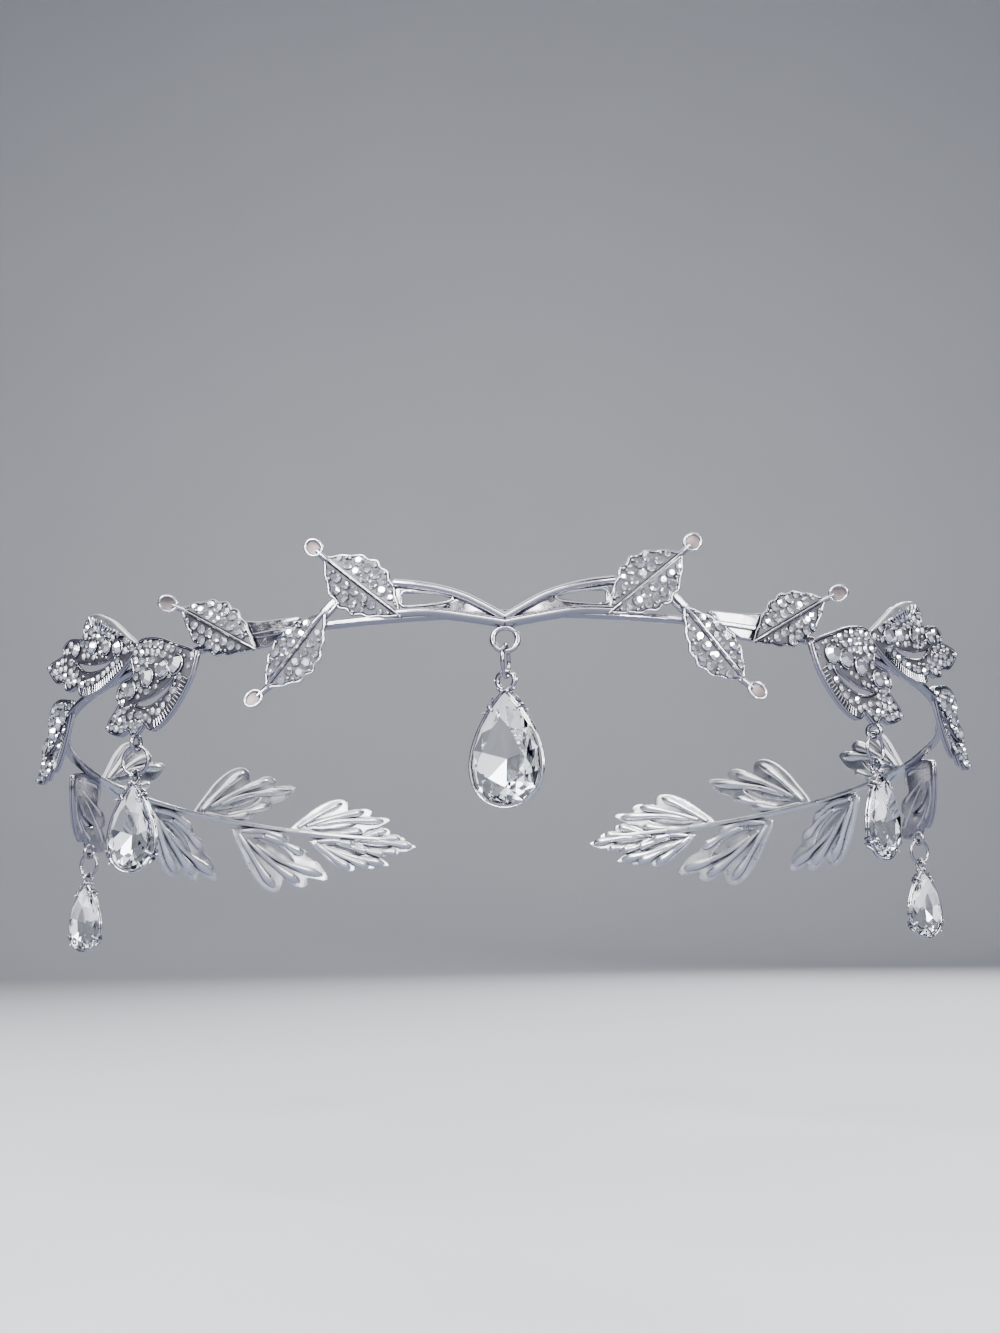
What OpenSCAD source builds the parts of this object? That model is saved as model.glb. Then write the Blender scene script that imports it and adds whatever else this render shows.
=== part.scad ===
// Wreath tiara: a soldered open band of cast leaves with five hanging pear crystals.
// X runs across the head, -Y is the forehead and +Z is up. The origin is the centre of the
// head opening. The band's plane is tipped with its front raised, and the drops hang plumb.
// A place on the band is given by its arc, the distance along the leaf faces from the front's
// centre, and its height above the band's plane. The left side mirrors the right.

/* [Band] */
// Radius of the leaf faces around the head
face_r = 73; // [71:0.5:76]
// Thickness of the plain headband strip
strip_t = 0.8; // [0.7:0.1:1]
// Height of the plain headband strip
strip_h = 1.4; // [1.2:0.1:2]
// Angle from the front's centre to each open end
strip_end = 158; // [150:1:160]
// Angle by which the front is raised
tilt = 8; // [5:1:11]

/* [Leaves] */
// Thickness of the cast leaves
leaf_t = 0.85; // [0.8:0.05:1.1]
// Height of the raised leaf rims and veins
relief = 0.35; // [0.3:0.05:0.5]
// Angle by which each half of a small leaf slopes away from its midrib
leaf_fold = 10; // [6:1:14]
// Radius of the disc on each curled stem
disc_r = 1.15; // [1:0.05:1.3]

/* [Drops] */
// Width of the front crystal
front_crystal_w = 8.8; // [8.6:0.1:9.4]
// Height of the front crystal
front_crystal_h = 13.6; // [13.2:0.1:14.4]
// Width of each side crystal
side_crystal_w = 6.8; // [6.4:0.1:7.2]
// Height of each side crystal
side_crystal_h = 11.2; // [10.6:0.1:11.6]
// Radius of the jump rings, to the centre of the wire
ring_r = 1.95; // [1.85:0.05:2.15]
// Diameter of the jump ring wire
ring_wire = 0.5; // [0.4:0.05:0.55]

/* [Stones] */
// Diameter of the pave stones on the small leaves
pave_d = 1.3; // [1.1:0.05:1.3]
// Diameter of the large stones on the split leaves
large_d = 1.9; // [1.7:0.05:2]
// Diameter of the small stones on the split leaves
small_d = 1.2; // [1:0.05:1.3]

/* [Hidden] */
$fn = 48;

// Clearance between pieces that aren't soldered
gap = 0.1;
// Where the strip's outer face lies inside the leaf faces
strip_set = 0.2;
// Height of the strip's middle above the band's plane
strip_mid = 0.1;
// Inner and outer faces of a leaf plate, from the leaf faces' radius
leaf_in = -leaf_t + 0.4;
leaf_out = 0.4;
// Half the height of the tube that bent plates are cut from, and their cutting depth
tube_half = 24;
cut_depth = 5;

// Columns of a small leaf's row
ARC = 0;
HEIGHT = 1;
HEADING = 2;
LENGTH = 3;
HALF_W = 4;
STEM_TURN = 5;
STEM_LIFT = 6;
//              arc   height heading length half_w stem_turn stem_lift
brow_leaf    = [13.0,  0.1,   41.5,  12.9,  3.6,    4,        8];
hanging_leaf = [22.8,  1.5,  -48.5,  11.5,  3.4,   11,        8];
rising_leaf  = [32.5, -1.9,   32.0,  14.6,  3.3,   -6,       38];
SMALL_LEAVES = [brow_leaf, hanging_leaf, rising_leaf];

// Columns of a split leaf's row, after the four it shares with a small leaf: how wide its lobed
// and its smooth side are beside the drawn outline, which way its lobes point, how much flatter
// than the band its face is, how far it lies outside the faces of its neighbours, and how long
// before its base the face touches the band
LOBED = 4;
SMOOTH = 5;
HAND = 6;
FLARE = 7;
PROUD = 8;
LEAD = 9;
//              arc   height heading length lobed smooth hand flare proud lead
temple_leaf  = [ 42.2, -0.6, -20.5,  20.0,  1.00, 1.00,   1,    0,  0,   0];
crest_leaf   = [ 54.2,  3.0,   6.0,  25.0,  0.62, 0.75,   1,  200,  0.2, 0];
side_leaf    = [ 80.0,  1.5, -26.0,  19.5,  0.90, 0.90,   1,  200, -1.2, 9.4];
ear_leaf     = [112.0, -2.2, -28.0,  20.0,  0.95, 0.95,   1,    0,  0,   0];
SPLIT_LEAVES = [temple_leaf, crest_leaf, side_leaf, ear_leaf];
BACK_LEAVES = [
    [127.0,  0.6,  20.0, 21.5, 0.68, 0.70,  1, 0,  0.1,  0],
    [143.0, -1.0, -28.0, 23.0, 0.72, 0.70, -1, 0,  0,    0],
    [157.0,  0.8,  19.0, 26.5, 0.64, 0.48,  1, 0,  0.15, 0],
    [167.0, -1.4, -18.0, 24.5, 0.80, 0.60, -1, 0,  0,    0],
    [181.5,  0.9,   9.0, 23.0, 0.60, 0.45,  1, 0,  0.25, 0],
    [186.0, -1.5, -12.0, 18.5, 0.50, 0.45, -1, 0,  0.12, 0],
    [195.0, -0.7,  -2.0, 15.0, 0.60, 0.60,  1, 0, -0.12, 0]
];

// Length of the split leaf that the outlines below are drawn for
SPLIT_LENGTH = 20;
// Outline of a split leaf: along its axis from the base, and across it towards its lobes
SPLIT_EDGE = [
    [0, -0.5], [1.8, -2.8], [3.9, -4.4], [6.1, -5.6], [8.4, -6.2], [10.3, -6.1], [11.2, -5.4],
    [11.7, -4.3], [13.4, -4.7], [14.7, -4.3], [15.2, -3.1], [17.2, -2.8], [19.3, -1.0],
    [20.0, 0.1], [19.3, 1.2], [16.4, 2.0], [16.8, 3.1], [16.1, 4.4], [14.7, 4.8], [12.2, 4.3],
    [12.2, 6.5], [11.5, 7.9], [10.2, 8.3], [8.7, 8.0], [7.2, 7.2], [5.2, 5.8], [3.0, 3.6], [0, 0.5]
];
// Outline of its open slit
SPLIT_SLIT = [
    [4.2, -1.0], [6.2, -2.3], [9.0, -2.5], [11.2, -1.8], [13.0, -0.1], [10.8, -0.8], [8.6, -1.3], [6.2, -1.3]
];
// Point that the rim narrows towards, and how far in its inner edge lies
RIM_CENTRE = [9, 0.4];
RIM_SCALE = 0.86;
// Places of its stones: the large ones beside the slit, then the small ones
LARGE_STONES = [[3.7, 0.4], [6.2, 1.1], [9.3, 1.8], [13.2, 2.2]];
SMALL_STONES = [[8.2, 4.6], [5.6, -3.2], [7.9, -4.1], [10.2, -3.6], [13.6, -2.1], [16.6, -0.2]];

// Front bar, right half: arc and height along its top, its bottom and round its window
BAR_TOP = [[0, -0.25], [2.5, 1.35], [5.0, 2.75], [8.0, 3.85], [11.0, 4.55], [13.8, 5.0]];
BAR_BOTTOM = [[13.6, -0.1], [9.0, -0.2], [4.5, -1.0], [0, -1.9]];
BAR_WINDOW = [[6.3, 2.1], [7.6, 1.5], [12.6, 1.4], [12.6, 3.3], [10.0, 3.1], [7.8, 2.7]];
// Middles of its two ribs, and the ribs' width
UPPER_RIB = [[0, -0.75], [2.5, 0.8], [5.0, 2.2], [8.0, 3.3], [11.0, 4.05], [13.7, 4.5]];
LOWER_RIB = [[0, -1.4], [4.5, -0.5], [9.0, 0.35], [13.3, 0.5]];
rib_w = 1.0;
// Faces of the bar's web and of its ribs, from the leaf faces' radius
web_in = -0.8;
web_out = 0.1;
rib_out = 0.7;

// Polished plates that join the small leaves: arc and height
LEAF_STRUT = [[20.9, 3.0], [21.8, 3.8], [24.2, 1.6], [23.4, 0.6]];
STEM_BRIDGE = [
    [26.5, 1.5], [29.0, 1.9], [32.5, 2.1], [35.8, 2.7], [37.0, 1.8], [35.0, -1.2], [32.0, -1.6], [30.2, -1.2]
];
// Faces of those plates, from the leaf faces' radius
join_in = -0.75;
join_out = -0.15;

// Front loop: wire diameter, radius to the wire's centre, and height of its centre
loop_wire = 0.74;
loop_r = 1.53;
loop_height = -3.5;
// Side loops: wire diameter and radius to the wire's centre
side_loop_wire = 0.6;
side_loop_r = 1.0;
// Arc and height of the side loops, and where their centres lie from the leaf faces' radius
TEMPLE_LOOP = [54.2, -10.6, -0.1];
EAR_LOOP = [122.0, -13.3, -0.35];
// Turns about the plumb lines: the front link and drop, then the left and right drops at the sides
link_turn = -12;
front_turn = -22;
temple_turn = [-20, 44];
ear_turn = [-32, 28];
// Eyelets of the settings: wire diameter and radius to the wire's centre, front and sides
front_eyelet_wire = 0.65;
front_eyelet_r = 1.12;
side_eyelet_wire = 0.5;
side_eyelet_r = 0.8;

// Sides of a crystal's outline
PEAR_SIDES = 16;
// Exponent that draws the outline in towards its point, and the widest value it gives
pear_draw = 0.8;
pear_peak = 0.801;
// Rows of a crystal: share of the outline, and depth behind the middle of the girdle
CRYSTAL_ROWS = [[0.55, -1.6], [0.82, -1.05], [1, -0.15], [1, 0.15], [0.12, 1.2]];
// Height of a crystal's widest place below its middle, as a share of its height
pear_low = 0.09;
// Cup of a setting: wall, depth behind the girdle and thickness of its back
cup_wall = 0.35;
cup_depth = 1.3;
cup_back = 0.35;
cup_lip = -0.45;
// Girdle of a crystal in front of its drop's plumb line
girdle_at = -0.4;
// Claws: places round the outline in degrees from the point, radius, and reach before the girdle
FRONT_CLAWS = [44, 316];
SIDE_CLAWS = [44, 128, 232, 316];
claw_r = 0.32;
claw_reach = 0.35;

// Shape of a small stone, as shares of its diameter
stone_table = 0.55;
stone_high = 0.5;

function arc_angle(arc) = arc / face_r * 180 / PI;

// Turns a point from a leaf's own axes to arc and height on the band
function on_leaf(leaf, p) = [
    leaf[ARC] + p.x * cos(leaf[HEADING]) - p.y * sin(leaf[HEADING]),
    leaf[HEIGHT] + p.x * sin(leaf[HEADING]) + p.y * cos(leaf[HEADING])
];

// Arc at which a split leaf's face touches the band
function touch_of(leaf) = leaf[ARC] - leaf[LEAD];

// Scales a split leaf's drawn point to that leaf's own length, widths and hand
function split_point(leaf, p) = let (k = leaf[LENGTH] / SPLIT_LENGTH)
    [p.x * k, p.y * k * leaf[HAND] * (p.y > 0 ? leaf[LOBED] : leaf[SMOOTH])];

// Place in space of an arc and height, `out` beyond the leaf faces, once the band is tipped
function in_space(arc, height, out) =
    let (a = arc_angle(arc), y = -(face_r + out) * cos(a))
    [(face_r + out) * sin(a), y * cos(tilt) + height * sin(tilt), -y * sin(tilt) + height * cos(tilt)];

// Pear outline of a crystal or cup, from its point clockwise
function pear(w, h) = [
    for (i = [0 : PEAR_SIDES - 1])
        let (t = 360 * i / PEAR_SIDES)
        [w / 2 * sin(t) * pow(abs(sin(t / 2)), pear_draw) / pear_peak, h / 2 * cos(t)]
];

// Distance across a small leaf from its midrib at share t of its length, with a scalloped edge
function leaf_reach(t, half_w, i) = half_w * pow(sin(180 * pow(t, 1.2)), 0.8) * (i % 2 == 0 ? 0.94 : 1.04);

// Outline of half a small leaf
function half_leaf(length, half_w, steps = 12) = concat(
    [[0, -gap]],
    [for (i = [1 : steps - 1]) [length * i / steps, leaf_reach(i / steps, half_w, i)]],
    [[length, 0.3], [length, -gap]]
);

// Puts children on the band: x along it away from the front, y up and z outwards
module at_band(arc, height = 0, out = 0) {
    rotate([0, 0, arc_angle(arc)])
        translate([0, -face_r - out, height])
            rotate([90, 0, 0])
                children();
}

// Tips the band from its own plane to its place on the head
module tipped() {
    rotate([-tilt, 0, 0]) children();
}

// Draws children on both sides
module both_sides() {
    children();
    mirror([1, 0, 0]) children();
}

// Bent plate: a flat outline, drawn about the given arc, cut from a tube around the head. A flare
// makes it flatter than the band, which it then touches at the arc `touch`.
module bent_plate(middle, inner, outer, touch = 0, flare = 0) {
    intersection() {
        at_tube(touch, flare)
            difference() {
                cylinder(r = face_r + flare + outer, h = 2 * tube_half, center = true, $fn = 180);
                cylinder(r = face_r + flare + inner, h = 2 * tube_half + 2, center = true, $fn = 180);
            }
        at_band(middle) translate([0, 0, -cut_depth]) linear_extrude(2 * cut_depth) children();
    }
}

// Puts children at the middle of the tube that a bent plate is cut from
module at_tube(touch, flare) {
    rotate([0, 0, arc_angle(touch)]) translate([0, flare, 0]) children();
}

// Puts children on the face of a split leaf
module at_face(leaf, p, out) {
    wide = face_r + leaf[FLARE];
    turn = arc_angle(p.x - touch_of(leaf));
    far = -leaf[FLARE] * cos(turn) + sqrt(pow(wide, 2) - pow(leaf[FLARE] * sin(turn), 2));
    at_tube(touch_of(leaf), leaf[FLARE])
        rotate([0, 0, asin(far * sin(turn) / wide)])
            translate([0, -wide - leaf[PROUD] - out, p.y])
                rotate([90, 0, 0])
                    children();
}

// Ribbon of even width along a list of points
function ribbon(points, w) = let (n = len(points) - 1)
    concat(
        [for (i = [0 : n]) points[i] + w / 2 * side_of(points, i)],
        [for (i = [n : -1 : 0]) points[i] - w / 2 * side_of(points, i)]
    );
function side_of(points, i) =
    let (
        n = len(points) - 1,
        d = points[min(i + 1, n)] - points[max(i - 1, 0)]
    )
    i == 0 ? [0, 1] : [-d.y, d.x] / norm(d);

// Plain strip that goes round the head
module headband_strip() {
    rotate([0, 0, -90 - strip_end])
        rotate_extrude(angle = 2 * strip_end, $fn = 180)
            translate([face_r - strip_set - strip_t, strip_mid - strip_h / 2])
                square([strip_t, strip_h]);
}

// V-shaped front bar: a web with a window a side, and two ribs that meet in the middle
module front_bar() {
    bent_plate(0, web_in, web_out)
        difference() {
            polygon(concat(BAR_TOP, BAR_BOTTOM));
            polygon(BAR_WINDOW);
        }
    bent_plate(0, web_in, rib_out) polygon(ribbon(UPPER_RIB, rib_w));
    bent_plate(0, web_in, rib_out) polygon(ribbon(LOWER_RIB, rib_w));
}

// Puts children on a small leaf: x along its midrib from the base, y across, z outwards
module at_small_leaf(leaf) {
    middle = on_leaf(leaf, [leaf[LENGTH] / 2, 0]);
    at_band(middle.x, middle.y)
        rotate([0, 0, leaf[HEADING]])
            translate([-leaf[LENGTH] / 2, 0, 0])
                children();
}

// Puts children on the sloping half of a small leaf
module at_half(side) {
    rotate([-side * leaf_fold, 0, 0])
        mirror([0, side < 0 ? 1 : 0, 0])
            children();
}

// Curled stem with its disc, from a small leaf's tip
module curled_stem(turn, lift) {
    stem_l = 1.7;
    stem_r = 0.42;
    rotate([0, -lift, turn]) {
        translate([-1.2, 0, 0]) rotate([0, 90, 0]) cylinder(r = stem_r, h = stem_l + 1.6, $fn = 8);
        translate([stem_l + disc_r * 0.7, 0, -0.35]) cylinder(r = disc_r, h = 0.7);
    }
}

// Small pointed leaf: two sloping halves, a midrib and a curled stem
module small_leaf(leaf) {
    rib_r = 0.42;
    at_small_leaf(leaf) {
        for (side = [-1, 1])
            at_half(side)
                translate([0, 0, leaf_in])
                    linear_extrude(leaf_t)
                        polygon(half_leaf(leaf[LENGTH], leaf[HALF_W]));
        translate([0, 0, leaf_out]) rotate([0, 90, 0]) cylinder(r = rib_r, h = leaf[LENGTH], $fn = 6);
        translate([leaf[LENGTH], 0, 0]) curled_stem(leaf[STEM_TURN], leaf[STEM_LIFT]);
    }
}

// Split leaf: a lobed bent plate with an open slit and a raised rim
module split_leaf(leaf) {
    middle = on_leaf(leaf, [leaf[LENGTH] / 2, 0]);
    edge = [for (p = SPLIT_EDGE) on_leaf(leaf, split_point(leaf, p)) - [middle.x, 0]];
    inner = [
        for (p = SPLIT_EDGE)
            on_leaf(leaf, split_point(leaf, RIM_CENTRE + RIM_SCALE * (p - RIM_CENTRE))) - [middle.x, 0]
    ];
    slit = [for (p = SPLIT_SLIT) on_leaf(leaf, split_point(leaf, p)) - [middle.x, 0]];
    proud = leaf[PROUD];
    bent_plate(middle.x, proud + leaf_in, proud + leaf_out, touch_of(leaf), leaf[FLARE])
        difference() {
            polygon(edge);
            polygon(slit);
        }
    bent_plate(middle.x, proud, proud + leaf_out + relief, touch_of(leaf), leaf[FLARE])
        difference() {
            polygon(edge);
            polygon(inner);
        }
}

// Ring of round wire in the XZ plane
module wire_ring(radius, wire) {
    rotate([90, 0, 0])
        rotate_extrude()
            translate([radius, 0])
                circle(d = wire, $fn = 24);
}

// Centre of a fixed loop in space
function front_loop_at() = in_space(0, loop_height, 0);
function side_loop_at(place, side) = let (p = in_space(place.x, place.y, place.z)) [side * p.x, p.y, p.z];

// Fixed loop on a split leaf's edge, square to the ring that hangs in it
module side_loop(place, side, turn) {
    translate(side_loop_at(place, side))
        rotate([0, 0, turn + 90])
            wire_ring(side_loop_r, side_loop_wire);
}

// The whole soldered casting
module frame() {
    color("silver") {
        tipped() {
            headband_strip();
            both_sides() {
                front_bar();
                bent_plate(24, join_in, join_out) polygon([for (p = LEAF_STRUT) p - [24, 0]]);
                bent_plate(32, join_in, join_out) polygon([for (p = STEM_BRIDGE) p - [32, 0]]);
                for (leaf = SMALL_LEAVES) small_leaf(leaf);
                for (leaf = SPLIT_LEAVES) split_leaf(leaf);
                for (leaf = BACK_LEAVES) split_leaf(leaf);
            }
            translate([0, -face_r, loop_height]) wire_ring(loop_r, loop_wire);
        }
        side_loop(TEMPLE_LOOP, -1, temple_turn[0]);
        side_loop(TEMPLE_LOOP, 1, temple_turn[1]);
        side_loop(EAR_LOOP, -1, ear_turn[0]);
        side_loop(EAR_LOOP, 1, ear_turn[1]);
    }
}

// Drop below a centre line: how far each ring's centre lies below the last wire it hangs on
function hang(outer_r, wire, carrier_wire) = outer_r - wire / 2 - carrier_wire / 2 - gap;

// Heights in a drop, down from the bottom wire of its fixed loop
function ring_drop(carrier_wire) = hang(ring_r, ring_wire, carrier_wire);
function ring_wire_drop(carrier_wire) = ring_drop(carrier_wire) + ring_r;
function eyelet_drop(carrier_wire, eyelet_r, eyelet_wire) =
    ring_wire_drop(carrier_wire) + hang(eyelet_r, eyelet_wire, ring_wire);

// Bottom wire of the front loop, where the link swings, in space
function front_pivot() = front_loop_at() + loop_r * [0, -sin(tilt), -cos(tilt)];

// Setting below its eyelet, which is turned to stand square to its ring: a pear cup with a closed
// back, whose tip carries the eyelet, and claws
module setting(w, h, eyelet_r, eyelet_wire, eyelet_turn, claws) {
    middle = -eyelet_r - eyelet_wire / 2 - gap - h / 2;
    translate([0, 0, middle])
        difference() {
            slab(cup_lip, cup_depth) polygon(pear(w + 2 * (gap + cup_wall), h + 2 * (gap + cup_wall)));
            slab(cup_lip - 1, cup_depth - cup_back) polygon(pear(w + 2 * gap, h + 2 * gap));
        }
    for (a = claws) {
        p = claw_place(w, h, a);
        translate([p.x, cup_lip - claw_reach, middle + p.y])
            rotate([-90, 0, 0])
                cylinder(r = claw_r, h = claw_reach + 1, $fn = 16);
    }
    rotate([0, 0, eyelet_turn]) wire_ring(eyelet_r, eyelet_wire);
}

function claw_place(w, h, a) =
    let (
        k = pow(abs(sin(a / 2)), pear_draw) / pear_peak,
        edge = [w / 2 * sin(a) * k, h / 2 * cos(a)],
        away = [sin(a), cos(a)]
    )
    edge + (claw_r + gap) * away;

module slab(front, back) {
    rotate([90, 0, 0]) translate([0, 0, -back]) linear_extrude(back - front) children();
}

// Pear crystal: table, two rows of crown facets, girdle, and a pavilion that narrows to a small culet
module crystal(w, h, eyelet_r, eyelet_wire) {
    top = eyelet_r + eyelet_wire / 2 + gap;
    outline = pear(w, h);
    rows = len(CRYSTAL_ROWS);
    points = [
        for (row = CRYSTAL_ROWS)
            for (p = outline)
                [p.x * row.x, girdle_at + row.y, p.y * row.x - (1 - row.x) * pear_low * h]
    ];
    faces = concat(
        [[for (i = [0 : PEAR_SIDES - 1]) i]],
        [
            for (r = [0 : rows - 2])
                for (i = [0 : PEAR_SIDES - 1])
                    let (j = (i + 1) % PEAR_SIDES, a = r * PEAR_SIDES, b = a + PEAR_SIDES)
                    [a + j, a + i, b + i, b + j]
        ],
        [[for (i = [PEAR_SIDES - 1 : -1 : 0]) (rows - 1) * PEAR_SIDES + i]]
    );
    translate([0, 0, -top - h / 2]) polyhedron(points, faces);
}

// Places of the front drop's parts
module at_front_link() {
    translate(front_pivot() - [0, 0, ring_drop(loop_wire)])
        rotate([0, 0, link_turn])
            children();
}

module at_front_drop() {
    translate(front_pivot() - [0, 0, eyelet_drop(loop_wire, front_eyelet_r, front_eyelet_wire)])
        rotate([0, 0, front_turn])
            children();
}

// Places of a side drop's parts: side is -1 or 1, and turn is its angle about its plumb line
module at_side_drop(place, side, turn, below) {
    translate(side_loop_at(place, side) - [0, 0, side_loop_r + below])
        rotate([0, 0, turn])
            children();
}

module front_drop_link() {
    color("silver") at_front_link() rotate([0, 0, 90]) wire_ring(ring_r, ring_wire);
}

module front_drop_setting() {
    color("silver")
        at_front_drop()
            setting(front_crystal_w, front_crystal_h, front_eyelet_r, front_eyelet_wire, 0, FRONT_CLAWS);
}

module front_drop_crystal() {
    color("lightcyan")
        at_front_drop()
            crystal(front_crystal_w, front_crystal_h, front_eyelet_r, front_eyelet_wire);
}

module side_ring(place, side, turn) {
    color("silver")
        at_side_drop(place, side, turn, ring_drop(side_loop_wire))
            wire_ring(ring_r, ring_wire);
}

module side_setting(place, side, turn) {
    color("silver")
        at_side_drop(place, side, turn, eyelet_drop(side_loop_wire, side_eyelet_r, side_eyelet_wire))
            setting(side_crystal_w, side_crystal_h, side_eyelet_r, side_eyelet_wire, 90, SIDE_CLAWS);
}

module side_crystal(place, side, turn) {
    color("lightcyan")
        at_side_drop(place, side, turn, eyelet_drop(side_loop_wire, side_eyelet_r, side_eyelet_wire))
            crystal(side_crystal_w, side_crystal_h, side_eyelet_r, side_eyelet_wire);
}

// Small cut stone, eight-sided, with a table and eight crown facets
module stone(d) {
    points = concat(
        [for (i = [0 : 7]) [d / 2 * cos(45 * i), d / 2 * sin(45 * i), 0]],
        [for (i = [0 : 7]) [d / 2 * stone_table * cos(45 * i), d / 2 * stone_table * sin(45 * i), d * stone_high]]
    );
    faces = concat(
        [[for (i = [0 : 7]) i]],
        [for (i = [0 : 7]) [(i + 1) % 8, i, i + 8, (i + 1) % 8 + 8]],
        [[for (i = [7 : -1 : 0]) i + 8]]
    );
    polyhedron(points, faces);
}

// Pave stones of a small leaf, in two rows on each half
module small_leaf_stones(leaf) {
    step = pave_d + 0.17;
    // Columns: where the row starts as a share of the length, distance from the midrib, stones
    rows = [[0.23, 1.1, 6], [0.36, 1.1 + step, 4]];
    color("white")
        at_small_leaf(leaf)
            for (side = [-1, 1])
                at_half(side)
                    for (row = rows)
                        for (i = [0 : row[2] - 1])
                            translate([leaf[LENGTH] * row[0] + step * i, row[1], leaf_out + gap])
                                stone(pave_d);
}

// One stone on a split leaf
module split_stone(leaf, place, d) {
    at_face(leaf, on_leaf(leaf, split_point(leaf, place)), leaf_out + gap) stone(d);
}

module split_leaf_stones(leaf) {
    color("white") {
        for (p = LARGE_STONES) split_stone(leaf, p, large_d);
        for (p = SMALL_STONES) split_stone(leaf, p, small_d);
    }
}

module back_spray_stones() {
    color("white")
        for (leaf = BACK_LEAVES)
            for (i = [0, 2])
                split_stone(leaf, LARGE_STONES[i], small_d);
}

// Draws a field of stones on the named side
module field(side) {
    tipped() mirror([side < 0 ? 1 : 0, 0, 0]) children();
}

frame();
front_drop_link();
front_drop_setting();
front_drop_crystal();
side_ring(TEMPLE_LOOP, -1, temple_turn[0]);  // temple_drop_left_ring
side_setting(TEMPLE_LOOP, -1, temple_turn[0]);  // temple_drop_left_setting
side_crystal(TEMPLE_LOOP, -1, temple_turn[0]);  // temple_drop_left_crystal
side_ring(TEMPLE_LOOP, 1, temple_turn[1]);  // temple_drop_right_ring
side_setting(TEMPLE_LOOP, 1, temple_turn[1]);  // temple_drop_right_setting
side_crystal(TEMPLE_LOOP, 1, temple_turn[1]);  // temple_drop_right_crystal
side_ring(EAR_LOOP, -1, ear_turn[0]);  // ear_drop_left_ring
side_setting(EAR_LOOP, -1, ear_turn[0]);  // ear_drop_left_setting
side_crystal(EAR_LOOP, -1, ear_turn[0]);  // ear_drop_left_crystal
side_ring(EAR_LOOP, 1, ear_turn[1]);  // ear_drop_right_ring
side_setting(EAR_LOOP, 1, ear_turn[1]);  // ear_drop_right_setting
side_crystal(EAR_LOOP, 1, ear_turn[1]);  // ear_drop_right_crystal
field(-1) small_leaf_stones(brow_leaf);  // stones_brow_leaf_left
field(1) small_leaf_stones(brow_leaf);  // stones_brow_leaf_right
field(-1) small_leaf_stones(hanging_leaf);  // stones_hanging_leaf_left
field(1) small_leaf_stones(hanging_leaf);  // stones_hanging_leaf_right
field(-1) small_leaf_stones(rising_leaf);  // stones_rising_leaf_left
field(1) small_leaf_stones(rising_leaf);  // stones_rising_leaf_right
field(-1) split_leaf_stones(temple_leaf);  // stones_temple_leaf_left
field(1) split_leaf_stones(temple_leaf);  // stones_temple_leaf_right
field(-1) split_leaf_stones(crest_leaf);  // stones_crest_leaf_left
field(1) split_leaf_stones(crest_leaf);  // stones_crest_leaf_right
field(-1) split_leaf_stones(side_leaf);  // stones_side_leaf_left
field(1) split_leaf_stones(side_leaf);  // stones_side_leaf_right
field(-1) split_leaf_stones(ear_leaf);  // stones_ear_leaf_left
field(1) split_leaf_stones(ear_leaf);  // stones_ear_leaf_right
field(-1) back_spray_stones();  // stones_back_spray_left
field(1) back_spray_stones();  // stones_back_spray_right
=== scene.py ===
"""Dresses the wreath tiara: its cast silver, cut stones and pear crystals, in a plain pale studio."""
import logging
import math
from dataclasses import dataclass
from enum import Enum
from typing import Any, Callable, Iterable, Sequence

import bmesh
import bpy
import numpy as np
from bpy.types import Material, Mesh, Node, NodeSocket, NodeTree, Object
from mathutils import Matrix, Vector


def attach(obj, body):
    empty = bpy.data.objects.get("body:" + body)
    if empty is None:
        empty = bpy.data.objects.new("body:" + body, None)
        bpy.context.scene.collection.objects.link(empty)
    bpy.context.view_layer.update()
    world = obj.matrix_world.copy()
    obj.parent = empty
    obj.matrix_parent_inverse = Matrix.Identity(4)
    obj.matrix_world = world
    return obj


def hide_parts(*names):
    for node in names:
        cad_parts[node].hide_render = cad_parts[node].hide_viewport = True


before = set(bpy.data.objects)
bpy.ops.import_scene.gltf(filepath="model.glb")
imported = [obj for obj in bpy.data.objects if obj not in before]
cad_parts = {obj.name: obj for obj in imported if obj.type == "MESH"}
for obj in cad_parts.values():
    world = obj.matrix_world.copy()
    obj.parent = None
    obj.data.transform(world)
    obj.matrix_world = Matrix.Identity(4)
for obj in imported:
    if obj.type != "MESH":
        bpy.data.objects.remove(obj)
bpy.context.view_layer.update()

MM = 0.001
LOG = logging.getLogger("tiara")
Point = tuple[float, float]
Spot = tuple[float, float, float]
Colour = tuple[float, float, float]
Faces = Sequence[tuple[int, ...]]
Place = Callable[[np.ndarray], np.ndarray]


class Side(Enum):
    """The tiara's sides, as the front view shows them."""

    LEFT = -1
    RIGHT = 1

    @property
    def word(self) -> str:
        """The side's name in the names of pieces."""
        return self.name.lower()


class Slot(Enum):
    """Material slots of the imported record."""

    SILVER = "silver_metal"
    CRYSTAL = "crystal"
    STONE = "pave_stone"


# ---------------------------------------------------------------- the band


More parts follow.
